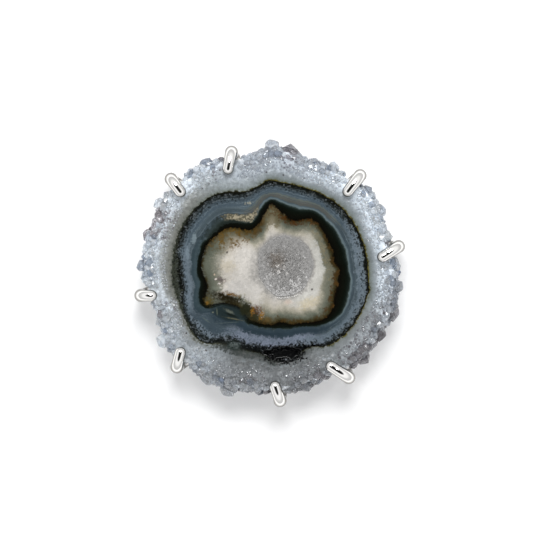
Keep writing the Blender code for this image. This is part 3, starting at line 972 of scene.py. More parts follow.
def makeFacetGroup():
    # Tiny crystal grains: a tone for each, and a normal that tips each its own way
    tree, given = newGroup("crystal grain", (
        ("Place", "Vector", None), ("Grains per mm", "Float", 4.0), ("Tilt", "Float", 0.5),
        ("Stretch", "Vector", (1, 1, 1))), (("Tone", "Float"), ("Normal", "Vector"), ("Seam", "Float")))
    place = vectorCalc(tree, "MULTIPLY", given["Place"], given["Stretch"])
    sizes = {"Vector": place, "Scale": given["Grains per mm"]}
    cells = put(tree, "ShaderNodeTexVoronoi", sizes).outputs["Color"]
    seams = put(tree, "ShaderNodeTexVoronoi", sizes, feature="DISTANCE_TO_EDGE").outputs["Distance"]
    tilt = stretched(tree, vectorCalc(tree, "SUBTRACT", cells, (0.5, 0.5, 0.5)), given["Tilt"])
    facing = put(tree, "ShaderNodeNewGeometry").outputs["Normal"]
    normal = vectorCalc(tree, "NORMALIZE", vectorCalc(tree, "ADD", facing, tilt))
    red, green, blue = put(tree, "ShaderNodeSeparateColor", {0: cells}).outputs
    tone = plus(tree, times(tree, red, 0.5), green, 0.5)
    put(tree, "NodeGroupOutput", {0: tone, 1: normal, 2: seams})
    return tree


def makeWearGroup():
    # Fine hairlines and faint smears of polished metal
    tree, given = newGroup("polish", (
        ("Place", "Vector", None), ("Lines per mm", "Float", 12.0), ("Strength", "Float", 0.5)),
        (("Smear", "Float"), ("Height", "Float")))
    lines = cloud(tree, vectorCalc(tree, "MULTIPLY", given["Place"], (1.0, 0.15, 0.6)),
                  given["Lines per mm"], 4, 0.6)
    smear = cloud(tree, given["Place"], 0.8, 3, 0.6)
    put(tree, "NodeGroupOutput", {
        0: times(tree, smear, given["Strength"]), 1: times(tree, lines, given["Strength"])})
    return tree


# Colours inwards from the black ring, as (mm from it, red, green, blue)
inwardColours = (
    (0.00, 20, 17, 9), (0.12, 38, 33, 18), (0.30, 56, 52, 32), (0.50, 70, 71, 56), (0.75, 88, 91, 78),
    (1.05, 103, 107, 95), (1.30, 122, 122, 108), (1.60, 150, 147, 132), (2.00, 177, 172, 158),
    (2.40, 188, 183, 172), (3.00, 196, 191, 182), (3.60, 202, 198, 191),
)

# Colours of the bands from the core's edge outwards, as (place on the bands, red, green, blue)
bandColours = (
    (0.98, 7, 6, 4), (1.10, 10, 9, 6), (1.50, 13, 15, 10), (1.75, 12, 17, 12), (1.97, 24, 32, 28),
    (2.04, 50, 60, 56), (2.10, 76, 90, 94), (2.20, 66, 79, 86), (2.35, 64, 75, 81), (2.50, 70, 82, 88),
    (2.65, 73, 86, 95), (2.80, 72, 84, 92), (2.90, 56, 64, 68), (3.02, 28, 32, 30), (3.30, 15, 17, 13),
    (3.62, 16, 17, 11), (3.84, 26, 27, 18), (3.94, 62, 64, 50), (4.02, 100, 106, 97), (4.09, 114, 121, 117),
    (4.18, 124, 132, 133), (4.30, 134, 142, 145), (4.46, 152, 160, 165), (4.65, 180, 190, 198),
    # The last stops, under the crust, are nearly white: partly the pale quartz, partly painted light that
    # stands in for light coming through the crystals
    (4.93, 206, 216, 225), (5.20, 226, 235, 244), (6.00, 242, 248, 254),
)

# Stretches of a band: angle, half spread in degrees, from and to on the bands, ragged, colour, strength
arcs = {
    "olive line": (20, 104, 3.80, 4.00, 0.06, (98, 92, 44), 0.85),
    "olive line low left": (220, 18, 3.86, 4.03, 0.1, (84, 78, 40), 0.7),
    "frost right": (358, 42, 2.50, 3.22, 0.7, (108, 120, 129), 0.92),
    "brown stripe top": (76, 48, 2.22, 2.44, 0.3, (86, 86, 80), 0.75),
    "brown stripe edge": (72, 50, 2.43, 2.52, 0.2, (106, 110, 100), 0.5),
    "pale line inside": (36, 96, 2.07, 2.16, 0.15, (98, 112, 116), 0.7),
    "dark upper left": (140, 20, 1.70, 2.30, 0.6, (34, 41, 38), 0.8),
    "tan bed": (118, 18, 2.05, 2.32, 0.3, (92, 88, 72), 0.95),
    "tan grains": (118, 17, 2.06, 2.30, 0.3, (164, 156, 134), 0.9),
    "slate low dark": (262, 74, 2.02, 2.48, 0.3, (40, 53, 62), 0.85),
    "slate left dark": (186, 34, 2.00, 2.34, 0.3, (52, 66, 71), 0.8),
    "frost left": (188, 30, 2.40, 2.82, 0.5, (112, 124, 134), 0.7),
    "slate lower left": (220, 17, 2.46, 2.78, 0.5, (56, 68, 76), 0.7),
    "frost low left": (222, 22, 2.74, 2.88, 0.5, (112, 124, 134), 0.7),
    "frost low": (270, 42, 2.42, 2.93, 0.5, (114, 122, 137), 0.92),
    "frost low right": (312, 26, 2.60, 2.92, 0.7, (100, 112, 121), 0.7),
    "black low left": (250, 26, 2.93, 3.50, 0.5, (14, 16, 18), 0.85),
    "black lower left": (221, 15, 2.86, 3.60, 0.7, (14, 18, 15), 0.8),
    "black low": (282, 28, 2.93, 3.88, 0.3, (4, 5, 6), 1.0),
    "black left": (172, 36, 2.94, 3.50, 0.7, (12, 14, 11), 0.8),
    "dark olive left": (190, 46, 3.30, 4.04, 1.4, (60, 64, 56), 0.8),
    "zone left shade": (186, 54, 3.98, 4.28, 0.4, (98, 100, 94), 0.75),
    "zone left warm": (174, 62, 4.10, 4.90, 0.4, (124, 125, 118), 0.75),
    "zone left outer": (174, 38, 4.60, 5.90, 0.5, (156, 160, 161), 0.4),
    "zone top left": (112, 26, 4.12, 5.30, 0.4, (150, 158, 161), 0.6),
    "zone top": (92, 36, 4.50, 5.90, 0.5, (164, 172, 181), 0.55),
    "cream right": (350, 62, 0.06, 0.46, 0.3, (192, 191, 185), 0.85),
    # The low stretches of the outer zone, here and in the next three lines, darken it towards the bottom:
    # partly the stone's own grey, partly painted shade
    "zone low inner": (268, 42, 3.90, 4.30, 0.4, (56, 60, 58), 0.85),
    "zone low outer": (270, 44, 4.20, 5.70, 0.4, (92, 93, 92), 0.85),
    "zone low right": (318, 30, 3.98, 5.60, 0.5, (124, 128, 129), 0.75),
    "zone lower left": (222, 30, 4.20, 5.80, 0.5, (138, 144, 148), 0.7),
    "cream low left": (226, 34, 0.16, 0.70, 1.0, (194, 191, 186), 0.75),
    "shade left": (190, 30, 0.70, 1.00, 0.9, (86, 90, 80), 0.6),
    "green right": (8, 46, 0.50, 0.84, 0.5, (113, 113, 100), 0.5),
    "green left": (164, 26, 0.62, 0.97, 0.3, (94, 98, 86), 0.5),
    "gold upper left": (136, 27, 0.52, 1.02, 0.9, (96, 74, 32), 1.0),
    "gold beside peak": (108, 18, 0.60, 1.02, 0.8, (76, 60, 32), 1.0),
    "peak olive": (89, 12, 0.35, 1.00, 0.7, (98, 90, 66), 0.75),
    "rust top": (70, 26, 0.66, 1.04, 1.0, (72, 45, 18), 1.0),
    "rust right": (10, 50, 0.80, 1.04, 1.0, (66, 50, 25), 0.85),
    "rust low right": (338, 30, 0.78, 1.04, 1.0, (72, 51, 24), 0.85),
    "rust low": (272, 36, 0.78, 1.04, 1.0, (70, 54, 26), 0.8),
    "gold right": (20, 34, 0.48, 0.76, 1.2, (150, 134, 98), 0.35),
}

# Marks across the bands: photo pixel of the centre, half sizes in pixels, turn in degrees, ragged,
# softness, colour, strength
marks = {
    "lower left grey": ((232, 347), (24, 6), -8, 0.4, 0.8, (50, 54, 53), 0.6),
    # Painted shade: the crevice's dark tail, running into the black band
    "crevice dark tail": ((250, 348), (20, 3.6), -8, 0.5, 0.8, (14, 16, 17), 0.85),
    "small tan grains": ((248.5, 203.3), (5.5, 1.9), 10, 0.5, 0.4, (146, 146, 132), 0.9),
    "green below": ((253, 314), (10, 9), -35, 0.3, 0.6, (44, 44, 28), 0.9),
    "rust below": ((257.5, 309.5), (8, 7), 0, 0.5, 0.8, (90, 58, 36), 0.9),
    "gold streak": ((251.5, 310), (3.2, 7.0), 10, 0.4, 0.7, (140, 98, 32), 0.9),
    "gold streak right": ((262, 315), (3.2, 8), -25, 0.4, 0.7, (142, 102, 36), 0.85),
    "brown below": ((267, 319), (8, 5), -20, 0.4, 0.9, (92, 78, 48), 0.8),
    "fold shade": ((229, 313), (23, 10), -14, 0.15, 0.5, (34, 44, 44), 0.9),
    "lower left brown": ((226, 297.5), (24, 8.0), -14, 0.5, 0.8, (33, 29, 17), 1.0),
    "lower left brown right": ((246, 309), (7, 9), -40, 0.3, 0.5, (34, 36, 23), 0.95),
    "lower left gold": ((232, 294.5), (12, 2.4), -16, 0.5, 0.8, (118, 84, 32), 0.85),
    "lower left green": ((217, 288.5), (7, 3.5), -10, 0.4, 0.9, (114, 120, 108), 0.6),
    "far left gold": ((209, 300.5), (7.0, 7.5), 0, 0.4, 0.8, (84, 74, 38), 1.0),
    "far left orange": ((207, 303), (2.4, 2.2), 0, 0.6, 0.8, (126, 92, 34), 0.7),
    "pit stain": ((221, 280), (7, 5), -20, 0.7, 0.9, (88, 78, 78), 0.75),
    # The pit's pale grains are partly painted highlights, standing in for the sparkle of its crystals
    "pit glinting grain": ((216, 279), (1.7, 1.1), 20, 0.4, 0.7, (216, 206, 200), 0.85),
    "pit glinting grain low": ((219.5, 283.5), (1.6, 1.0), -30, 0.4, 0.7, (214, 204, 198), 0.8),
    "pit glinting grain right": ((224.5, 281), (1.2, 1.0), 0, 0.4, 0.7, (196, 184, 178), 0.7),
    "pit glinting grain high": ((214.5, 274.5), (1.2, 1.6), 0, 0.4, 0.7, (206, 186, 164), 0.7),
    "pale patch": ((193.7, 239), (3.2, 6.0), -15, 0.7, 0.5, (118, 132, 138), 0.8),
    "pale patch below": ((187.5, 254), (2.4, 9.0), 4, 0.7, 0.6, (116, 130, 140), 0.8),
    "yellow low": ((308, 303), (17, 8), 25, 0.4, 0.9, (190, 176, 140), 0.55),
    "pink low": ((288, 302), (6, 4), 0, 0.4, 0.9, (204, 182, 166), 0.5),
    "yellow left": ((228, 266), (13, 12), 0, 0.4, 0.9, (184, 173, 146), 0.5),
    "fold light": ((229.5, 311.5), (7.5, 2.2), -25, 0.35, 0.8, (102, 107, 96), 0.75),
    "fold tick": ((217, 311.5), (1.0, 5.5), 5, 0.3, 0.7, (92, 100, 88), 0.55),
    "fold spot": ((213, 312.3), (1.4, 1.2), 0, 0.4, 0.6, (118, 124, 108), 0.6),
    "fold dark": ((231, 315.2), (10.5, 1.7), -20, 0.2, 0.7, (24, 30, 26), 0.9),
    "fold tan line": ((234, 318.8), (13, 1.1), -11, 0.35, 0.8, (100, 99, 80), 0.6),
    "fold pale line": ((227, 322.8), (16, 0.9), 4, 0.3, 0.8, (86, 98, 98), 0.5),
    "fold pale line left": ((206, 320), (7, 0.8), -34, 0.2, 0.6, (86, 98, 92), 0.5),
    "bubble": ((234, 345.5), (9, 7), 0, 0.3, 0.5, (44, 52, 50), 0.9),
    "bubble grains": ((234, 345.5), (6.5, 5), 0, 0.4, 0.6, (96, 104, 102), 0.6),
    # Painted shade in the gap between the right claw and the stone
    "claw gap shade": ((387.6, 242.5), (3.4, 3.6), 0, 1.2, 0.4, (52, 48, 56), 0.9),
}
# Painted highlights: glints of the crystals that catch the light in the crevice, in the same order
creviceGlints = ((288, 359.5), (8, 1.2), 0, 0.15, 0.6, (140, 146, 152), 0.6)

# Small dark specks: photo pixel of each, all under a pixel and a half across
specks = (
    (175.1, 218.5), (186.0, 333.0), (206.0, 350.7), (266.4, 172.2), (304.6, 178.0), (283.6, 175.0),
    (227.1, 252.5), (311.9, 289.5), (202.3, 188.4), (209.0, 183.7), (299.3, 246.8), (364.0, 196.5),
)

stoneLook = {
    "coreColours": ((137, 133, 129), (149, 147, 143)),  # under the druse, and at the mouth
    "lineTones": (0.70, 1.27),  # darkest and lightest line in the slate
    "thread": ((118, 132, 138), 0.42),  # colours, each with its strength
    "speck": ((46, 36, 34), 0.8),
    # Pale grains in and round the black band, partly painted glints
    "paleGrainGlint": ((100, 107, 110), 0.65),
    "darkGrain": ((22, 25, 23), 0.7),
    "speckHalf": (0.16, 0.16),  # mm
    # Painted shade: the crevice's hollow is painted near black, as a deep recess looks
    "hollowShadeColour": (4, 5, 6),
    "hollowHalf": (1.3, 1.6),  # in half sizes of the crevice
    "hollowTilt": 0.12,
    "frostPerMm": 6.5,  # grains per mm, fine to coarse
    "grainPerMm": 3.8,
    "coarsePerMm": 1.7,
    "grainTilt": 0.6,
    "grainTone": 0.40,  # how much each kind of grain lightens and darkens
    "smallTone": 0.8,
    "coarseTone": 0.7,
    "roughness": (0.07, 0.36),  # of the polished middle and of the rim
    "hollowRoughness": 0.22,
    "specular": 0.24,
}
quartzIor = 1.544
exposure = {
    "stoneTone": (235, 235, 235),  # holds the stone's colours back, because the light is a little over full
    "worldStrength": 0.62,
    "areaPower": 4.4,
    "floorGlow": 0.16,
}


def photoPlace(pixelX, pixelY):
    # From a pixel of the photo to millimetres from the growth centre
    return (pixelX - photoCentre[0]) * pixel / mm, (photoCentre[1] - pixelY) * pixel / mm


def photoSize(halfX, halfY):
    return halfX * pixel / mm, halfY * pixel / mm


def addRamp(tree, value, stops):
    # A colour ramp over (position, linear colour) stops
    ramp = tree.nodes.new("ShaderNodeValToRGB")
    elements = ramp.color_ramp.elements
    for index, (position, colour) in enumerate(stops):
        element = elements[index] if index < 2 else elements.new(1.0)
        element.position = position
        element.color = colour
    tree.links.new(value, ramp.inputs[0])
    return ramp.outputs[0]


def colourRamp(tree, value, colours):
    # A colour ramp over (place, red, green, blue) stops, placed in the stops' own units
    low, high = colours[0][0], colours[-1][0]
    spread = put(tree, "ShaderNodeMapRange", {"Value": value, "From Min": low, "From Max": high}).outputs[0]
    return addRamp(tree, spread, [((at - low) / (high - low), srgb(*rgb)) for at, *rgb in colours])


def strayBands(tree, place, flat, outward):
    # The place on the bands and the mm inwards from the black ring. Both stray, clump and grow fine hairs.
    band, perMm = attribute(tree, "band"), attribute(tree, "per_mm")
    along = stretched(tree, outward, plus(tree, 1.0, vectorCalc(tree, "LENGTH", flat), 0.06))
    stray = centred(tree, cloud(tree, place, 0.55, 2))
    clump = centred(tree, cloud(tree, place, 2.4, 5, 0.65))
    hairs = centred(tree, cloud(tree, along, 22.0, 5, 0.7))
    wander = plus(tree, times(tree, clump, 0.16), stray, 0.4)
    clumpZone = between(tree, band, 2.3, 2.8, 3.3, 3.6)
    wander = plus(tree, wander, times(tree, clump, clumpZone), 0.40)
    wander = plus(tree, wander, times(tree, hairs, clumpZone), 0.1)
    frayed = plus(tree, times(tree, hairs, 0.22), clump, 0.30)
    wander = plus(tree, wander, frayed, between(tree, band, 3.6, 3.9, 4.1, 4.4))
    where = plus(tree, band, wander, perMm)
    inward = calc(tree, "DIVIDE", calc(tree, "SUBTRACT", 1.0, band), calc(tree, "MAXIMUM", perMm, 0.05))
    breadth = step(tree, cloud(tree, along, 1.7, 2), 0.36, 0.64, 0.85, 1.35)
    inward = plus(tree, times(tree, inward, breadth), clump, 0.85)
    return where, plus(tree, inward, hairs, 0.32), clump, hairs


def softened(tree, tone, share):
    # A tone brought nearer to 1, and the more so the smaller the share
    return plus(tree, 1.0, calc(tree, "SUBTRACT", tone, 1.0), share)


def addFineLines(tree, colour, where, place):
    # Fine lines and threads inside the slate bands
    patches = step(tree, cloud(tree, place, 0.5, 3), 0.38, 0.62, 0.25, 1.0)
    zone = times(tree, between(tree, where, 1.5, 2.0, 2.9, 3.05), patches)
    tone = step(tree, layers(tree, where, 9.0, 3.0, 0.7), 0.30, 0.72, *stoneLook["lineTones"])
    colour = multiplied(tree, colour, softened(tree, tone, zone))
    threads = centred(tree, layers(tree, calc(tree, "ADD", where, 7.3), 6.0, 2.0))
    threads = step(tree, calc(tree, "ABSOLUTE", threads), 0.035, 0.0)
    threads = times(tree, threads, zone, step(tree, where, 2.0, 2.1))
    rgb, strength = stoneLook["thread"]
    return tint(tree, colour, threads, strength, rgb)


def addMarks(tree, colour, where, place, outward, clump, hairs, frostTone, patch, arc):
    # Stretches of bands, marks across them and small specks
    ragged = plus(tree, times(tree, clump, 2.4), hairs, 0.6)
    grainy = step(tree, frostTone, 0.22, 0.62, 0.50, 1.0)
    grains = step(tree, frostTone, 0.35, 0.72)
    patchy = step(tree, cloud(tree, place, 1.5, 4, 0.6), 0.42, 0.60, 0.05, 1.0)
    flecked = step(tree, cloud(tree, place, 4.5, 4, 0.7), 0.40, 0.58, 0.25, 1.0)
    patchySoft = plus(tree, 0.3, patchy, 0.7)
    fleckedSoft = plus(tree, 0.52, flecked, 0.48)
    for name, (angle, spread, start, end, rough, rgb, strength) in arcs.items():
        mask = stretch(tree, arc, outward, where, ragged, angle, spread, rough, start, end)
        if "frost" in name:
            mask = times(tree, mask, grainy)
        if "grains" in name:
            mask = times(tree, mask, grains)
        if "rust" in name:
            mask = times(tree, mask, patchy, fleckedSoft)
        if "gold" in name:
            mask = times(tree, mask, patchySoft, fleckedSoft)
        colour = tint(tree, colour, mask, strength, rgb)
    for name, (centre, half, turn, rough, soft, rgb, strength) in marks.items():
        mask = spot(tree, patch, place, photoPlace(*centre), photoSize(*half), rough, soft, turn)
        if "grains" in name:
            mask = times(tree, mask, grains)
        if "gold" in name or "rust" in name:
            mask = times(tree, mask, flecked)
        colour = tint(tree, colour, mask, strength, rgb)
    rgb, strength = stoneLook["speck"]
    for speck in specks:
        mask = spot(tree, patch, place, photoPlace(*speck), stoneLook["speckHalf"], 0.5, 0.7)
        colour = tint(tree, colour, mask, strength, rgb)
    return colour


def addSpeckle(tree, colour, where, place, frostTone, patch):
    # Light and dark grains in the black band and round it, the light ones partly painted glints; the crevice
    # in it, painted near black as shade; and painted glints of its crystals
    crevice = stone["crevice"]
    half = [size * wider for size, wider in zip(crevice["half"], stoneLook["hollowHalf"])]
    hollow = spot(tree, patch, place, crevice["centre"], half, 0.55, 0.3)
    # Pale grains, partly painted glints
    light = without(tree, between(tree, where, 2.75, 2.95, 3.3, 3.7), hollow)
    patches = step(tree, cloud(tree, place, 1.3, 2), 0.38, 0.6)
    light = times(tree, light, step(tree, frostTone, 0.55, 0.75), patches)
    rgb, strength = stoneLook["paleGrainGlint"]
    colour = tint(tree, colour, light, strength, rgb)
    dark = times(tree, between(tree, where, 2.66, 2.8, 3.98, 4.06), step(tree, frostTone, 0.46, 0.25))
    rgb, strength = stoneLook["darkGrain"]
    colour = tint(tree, colour, dark, strength, rgb)
    # Painted shade: the crevice's hollow, near black
    colour = blendColour(tree, hollow, colour, srgb(*stoneLook["hollowShadeColour"]))
    # Painted highlights on crystals at the crevice's lower edge
    centre, half, turn, rough, soft, rgb, strength = creviceGlints
    paintedGlints = spot(tree, patch, place, photoPlace(*centre), photoSize(*half), rough, soft, turn)
    return tint(tree, colour, times(tree, paintedGlints, step(tree, frostTone, 0.62, 0.72)), strength, rgb), hollow


def makeStoneMaterial(patch, arc, grain):
    look = stoneLook
    material, tree = newMaterial("banded stone")
    place = placeOnStone(tree)
    flat = flatPlace(tree, place)
    outward = vectorCalc(tree, "NORMALIZE", flat)
    where, inward, clump, hairs = strayBands(tree, place, flat, outward)
    frostTone = useGroup(tree, grain, {
        "Place": place, "Grains per mm": look["frostPerMm"], "Tilt": 0.0})["Tone"]

    # Inside the black ring the colours follow the distance from it
    colour = colourRamp(tree, where, bandColours)
    cream = colourRamp(tree, inward, inwardColours)
    colour = blendColour(tree, step(tree, where, 1.03, 0.98), colour, cream)
    core = blendColour(tree, step(tree, where, -1.0, 0.0), *(srgb(*rgb) for rgb in look["coreColours"]))
    coreShare = step(tree, plus(tree, where, clump, 0.45), 0.26, -0.04)
    colour = blendColour(tree, coreShare, colour, core)
    colour = addFineLines(tree, colour, where, place)
    colour = addMarks(tree, colour, where, place, outward, clump, hairs, frostTone, patch, arc)
    colour, hollow = addSpeckle(tree, colour, where, place, frostTone, patch)

    # Quartz grain, faint on the polished middle and strong towards the rim
    tilted = without(tree, step(tree, where, 4.2, 5.0), hollow)
    tilted = plus(tree, tilted, hollow, look["hollowTilt"])
    quartz = useGroup(tree, grain, {
        "Place": place, "Grains per mm": look["grainPerMm"], "Stretch": (1, 1, 0.5),
        "Tilt": times(tree, tilted, look["grainTilt"])})
    coarse = useGroup(tree, grain, {"Place": place, "Grains per mm": look["coarsePerMm"], "Tilt": 0.0})
    tone = plus(tree, 1.0, centred(tree, quartz["Tone"]), look["grainTone"])
    tone = plus(tree, tone, centred(tree, cloud(tree, place, 9.0, 3, 0.65)), look["smallTone"])
    outside, inside = step(tree, where, 3.9, 4.5, 0.35, 1.0), step(tree, where, 1.0, 0.9, 0.0, 0.55)
    tone = softened(tree, tone, calc(tree, "MAXIMUM", outside, inside))
    coarseTone = times(tree, centred(tree, coarse["Tone"]), step(tree, where, 4.95, 5.4))
    tone = plus(tree, tone, coarseTone, look["coarseTone"])
    broad = step(tree, cloud(tree, place, 0.35, 3, 0.6), 0.3, 0.7, 0.90, 1.10)
    colour = multiplied(tree, colour, times(tree, tone, broad))
    # The colours are held back everywhere but the rim, from band 5 out, which is left brighter: painted
    # light, so that the crust looks lit through its crystals
    heldExceptLitRim = blendColour(tree, step(tree, where, 4.8, 5.3), srgb(*exposure["stoneTone"]), (1, 1, 1, 1))
    colour = multiplied(tree, colour, heldExceptLitRim)

    roughness = step(tree, where, 4.0, 5.0, *look["roughness"])
    roughness = calc(tree, "MAXIMUM", roughness, times(tree, hollow, look["hollowRoughness"]))
    height = times(tree, calc(tree, "MINIMUM", quartz["Seam"], 0.12), step(tree, where, 4.3, 5.0))
    bump = put(tree, "ShaderNodeBump", {
        "Height": height, "Distance": 0.25 * mm, "Strength": 0.4, "Normal": quartz["Normal"]}).outputs[0]
    finishMaterial(tree, {
        "Base Color": colour, "Roughness": roughness, "Normal": bump, "IOR": quartzIor,
        "Specular IOR Level": look["specular"]})
    return material


quartzLooks = {
    "clear quartz": {
        "dim": (170, 182, 198), "clear": (249, 253, 255), "cloudy": (236, 244, 253), "blue": (190, 210, 242),
        "ripple": 0.04, "polish": 0.01, "frost": 0.02, "transmission": 0.72,
        "body": (206, 220, 240), "density": 20.0,
    },
    "smoky quartz": {
        "dim": (134, 124, 126), "clear": (222, 218, 222), "cloudy": (186, 180, 184), "blue": (150, 132, 124),
        "ripple": 0.07, "polish": 0.015, "frost": 0.08, "transmission": 0.80,
        "body": (150, 138, 140), "density": 300.0,
    },
}

# Painted shade: greyer stretches of the rim: angle, half spread in degrees, colour, strength
paintedRimShade = (
    (315, 52, (146, 147, 152), 0.50),
    (262, 34, (150, 150, 152), 0.38),
    (92, 34, (170, 176, 188), 0.35),
)


def makeQuartzMaterial(name, grain, arc, look):
    # Each crystal has its own tone, from a dim few to the bright many, and a few are blue
    material, tree = newMaterial(name)
    place = placeOnStone(tree)
    tone = attribute(tree, "tone")
    cells = useGroup(tree, grain, {"Place": place, "Grains per mm": 0.8, "Tilt": look["ripple"]})
    veil = step(tree, cloud(tree, place, 1.6, 4, 0.65), 0.35, 0.70)
    colour = blendColour(tree, veil, srgb(*look["clear"]), srgb(*look["cloudy"]))
    colour = blendColour(tree, step(tree, tone, 0.34, 0.03), colour, srgb(*look["dim"]))
    colour = blendColour(tree, step(tree, tone, 0.97, 0.98), colour, srgb(*look["blue"]))
    outward = vectorCalc(tree, "NORMALIZE", flatPlace(tree, place))
    # Painted shade on the rim's crystals: greyer at the lower right, the bottom and the top
    for angle, spread, rgb, strength in paintedRimShade:
        mask = stretch(tree, arc, outward, 0.5, centred(tree, veil), angle, spread, 0.4)
        colour = tint(tree, colour, mask, strength, rgb)
    roughness = step(tree, veil, 0.2, 1.0, look["polish"], look["frost"])
    output = finishMaterial(tree, {
        "Base Color": colour, "Roughness": roughness, "Normal": cells["Normal"],
        "IOR": quartzIor, "Transmission Weight": look["transmission"]})
    absorb = put(tree, "ShaderNodeVolumeAbsorption", {
        "Color": srgb(*look["body"]), "Density": look["density"]})
    tree.links.new(absorb.outputs[0], output.inputs["Volume"])
    return material


druseLook = {
    "grainPerMm": 7.0,
    "tilt": 0.35,
    "roughness": 0.33,
    # Colours, and spots as photo pixel of the centre, half sizes in mm, ragged, softness
    "colour": (143, 142, 140),
    "shade": (116, 109, 101),
    # Painted shade: the core is darkened towards its lower edge
    "lower": (120, 119, 117),
    # Painted highlights: bright glints laid on one patch of the core's crystals
    "glint": (232, 230, 226),
    "shadeSpot": ((277, 261), (1.5, 1.6), 0.6, 1.0),
    "lowerSpot": ((287, 295), (3.0, 1.5), 0.4, 1.0),
    "glintSpot": ((280, 271), (1.25, 1.15), 0.4, 0.9),
}


def makeDruseMaterial(grain, patch):
    look = druseLook
    material, tree = newMaterial("core druse")
    place = placeOnStone(tree)
    cells = useGroup(tree, grain, {"Place": place, "Grains per mm": look["grainPerMm"], "Tilt": look["tilt"]})
    masks = {}
    for name in ("shade", "lower", "glint"):
        centre, *shape = look[name + "Spot"]
        masks[name] = spot(tree, patch, place, photoPlace(*centre), *shape)
    colour = blendColour(tree, masks["shade"], srgb(*look["colour"]), srgb(*look["shade"]))
    # Painted shade towards the core's lower edge
    colour = blendColour(tree, masks["lower"], colour, srgb(*look["lower"]))
    colour = multiplied(tree, colour, plus(tree, 1.0, centred(tree, cells["Tone"]), 0.5))
    # Painted highlights: glints on a patch of the core's crystals
    glint = times(tree, masks["glint"], step(tree, cells["Tone"], 0.62, 0.75))
    colour = blendColour(tree, glint, colour, srgb(*look["glint"]))
    colour = multiplied(tree, colour, srgb(*exposure["stoneTone"]))
    finishMaterial(tree, {
        "Base Color": colour, "Roughness": look["roughness"], "Normal": cells["Normal"], "IOR": quartzIor})
    return material


silverLook = {
    "colours": ((248, 247, 244), (236, 235, 232)),
    # Painted shade: the wire's sideways-facing sides are darkened, standing in for the dark reflections and
    # shade along its edges
    "paintedEdgeShade": (118, 115, 109),  # where the wire turns away from the viewer, as it darkens in the photo
    "paintedEdgeShadeRise": (0.02, 0.10, 0.36, 0.64),  # by how far the surface faces up
    "linesPerMm": 9.0,
    "roughness": (0.035, 0.10),
}


def makeSilverMaterial(polish):
    look = silverLook
    material, tree = newMaterial("polished silver")
    place = placeOnStone(tree)
    worn = useGroup(tree, polish, {"Place": place, "Lines per mm": look["linesPerMm"], "Strength": 1.0})
    roughness = step(tree, worn["Smear"], 0.35, 0.75, *look["roughness"])
    colour = blendColour(tree, worn["Smear"], *(srgb(*rgb) for rgb in look["colours"]))
    facing = put(tree, "ShaderNodeNewGeometry").outputs["Normal"]
    upward = put(tree, "ShaderNodeSeparateXYZ", {0: facing}).outputs[2]
    # Painted shade along the wire's sideways-facing sides, for the dark reflections at its edges
    paintedEdgeShade = between(tree, upward, *look["paintedEdgeShadeRise"])
    colour = blendColour(tree, paintedEdgeShade, colour, srgb(*look["paintedEdgeShade"]))
    bump = put(tree, "ShaderNodeBump", {
        "Height": worn["Height"], "Distance": 0.004 * mm, "Strength": 0.35}).outputs[0]
    finishMaterial(tree, {"Base Color": colour, "Metallic": 1.0, "Roughness": roughness, "Normal": bump})
    return material


def makeFloorMaterial():
    material, tree = newMaterial("pale floor")
    coords = put(tree, "ShaderNodeTexCoord").outputs["Object"]
    tone = cloud(tree, coords, 40.0, 3)
    colour = blendColour(tree, tone, srgb(238, 238, 238), srgb(234, 234, 234))
    finishMaterial(tree, {
        "Base Color": colour, "Roughness": 0.75, "Emission Color": (1, 1, 1, 1),
        "Emission Strength": exposure["floorGlow"]})
    return material


# Light, floor and camera
studio = {
    "cameraOffset": (-0.612 * mm, 0.390 * mm),  # of the photo's centre from the growth centre
    "cameraHeight": 0.55,
    "frameWidth": 533 * pixel,
    "lightPlace": (0.0, 0.35, 0.72),
    "lightSize": 0.36,
    "floorSize": 1.2,
    # Brightness of the room by the height of the direction, from the horizon to straight up
    "sky": (
        (0.0, 0.95), (0.20, 1.02), (0.42, 1.20), (0.58, 1.60), (0.85, 1.70), (0.89, 0.70), (0.915, 0.05),
        (1.0, 0.02),
    ),
}


def makeWorld():
    world = bpy.data.worlds.new("studio")
    bpy.context.scene.world = world
    world.use_nodes = True
    tree = world.node_tree
    tree.nodes.clear()
    upward = put(tree, "ShaderNodeTexCoord").outputs["Generated"]
    height = put(tree, "ShaderNodeSeparateXYZ", {0: upward}).outputs[2]
    sky = addRamp(tree, height, [(at, (level, level, level * 1.01, 1)) for at, level in studio["sky"]])
    background = put(tree, "ShaderNodeBackground", {0: sky, 1: exposure["worldStrength"]})
    put(tree, "ShaderNodeOutputWorld", {0: background.outputs[0]})


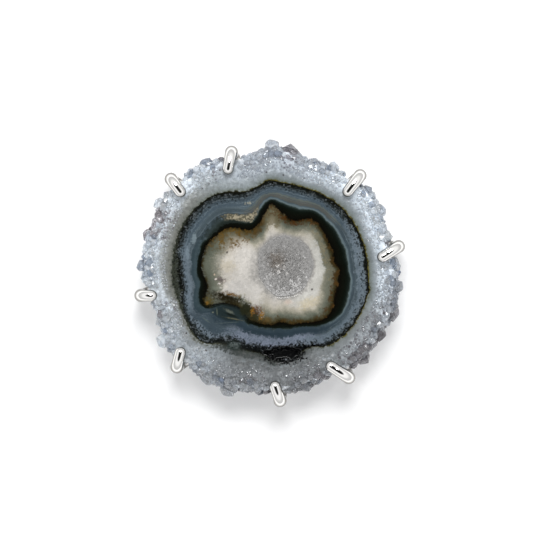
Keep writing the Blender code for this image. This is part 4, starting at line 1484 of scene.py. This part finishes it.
def makeStudio():
    makeWorld()
    bm = bmesh.new()
    bmesh.ops.create_grid(bm, x_segments=8, y_segments=8, size=studio["floorSize"])
    floor = addObject("floor", meshFrom(bm, "floor"))
    floor.data.materials.append(makeFloorMaterial())

    lamp = bpy.data.lights.new("softbox", "AREA")
    lamp.shape = "DISK"
    lamp.size = studio["lightSize"]
    lamp.energy = exposure["areaPower"]
    light = addObject("softbox", lamp)
    light.location = studio["lightPlace"]
    aim = Vector((growth.x, growth.y, 0)) - light.location
    light.rotation_euler = aim.to_track_quat("-Z", "Y").to_euler()

    camera = addObject("camera", bpy.data.cameras.new("camera"))
    dx, dy = studio["cameraOffset"]
    camera.location = (growth.x + dx, growth.y + dy, faceZ + studio["cameraHeight"])
    camera.data.sensor_width = 36
    camera.data.lens = 36 * studio["cameraHeight"] / studio["frameWidth"]
    camera.data.clip_start = 0.01
    bpy.context.scene.camera = camera
    bpy.context.scene.view_settings.view_transform = "Standard"


def dress(piece, material, slot, *nodes):
    piece.data.materials.clear()
    piece.data.materials.append(material)
    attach(piece, "root")
    if nodes:
        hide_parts(*nodes)


makeStudio()
print("studio ready")

patchGroup, arcGroup = makePatchGroup(), makeArcGroup()
grainGroup, polishGroup = makeFacetGroup(), makeWearGroup()
stoneMaterial = makeStoneMaterial(patchGroup, arcGroup, grainGroup)
quartzMaterials = {}
for name, look in quartzLooks.items():
    quartzMaterials[name] = makeQuartzMaterial(name, grainGroup, arcGroup, look)
druseMaterial = makeDruseMaterial(grainGroup, patchGroup)
silverMaterial = makeSilverMaterial(polishGroup)
print("materials ready")

slab = makeStone()
dress(slab, stoneMaterial, "banded_quartz", "stalactite_slice")
print("stone", len(slab.data.polygons), "faces")

crystalKinds = makeCrystalKinds()
scatterTree = makeScatterTree()
for prefix, isSmoky, seed in (("clear", False, 21), ("smoky", True, 5)):
    material = quartzMaterials[prefix + " quartz"]
    for zone, settings in growths.items():
        name = f"{prefix}_{zone}"
        base = makeRimBase(name + "_base", settings["profile"], isSmoky)
        crystals = growCrystals(name + "_crystals", base, scatterTree, crystalKinds, material, settings, seed)
        dress(crystals, material, "clear_quartz")
    dress(makeLargeCrystals(prefix + "_large_crystals", isSmoky, crystalKinds), material, "clear_quartz")
print("rim crystals ready")

bed, druseBase = makeDruse()
dress(bed, druseMaterial, "clear_quartz", "core_crystals")
druseCrystals = growCrystals("core_druse", druseBase, scatterTree, crystalKinds, druseMaterial, druse, 9)
dress(druseCrystals, druseMaterial, "clear_quartz")
print("core druse ready")

for name, places in claws.items():
    dress(makeClaw(name, places), silverMaterial, "polished_silver", "prong_" + name)
dress(makeBackRing(), silverMaterial, "polished_silver", "base_ring")
for kind in list(crystalKinds.objects):
    bpy.data.objects.remove(kind)
bpy.data.collections.remove(crystalKinds)
print("silver ready")
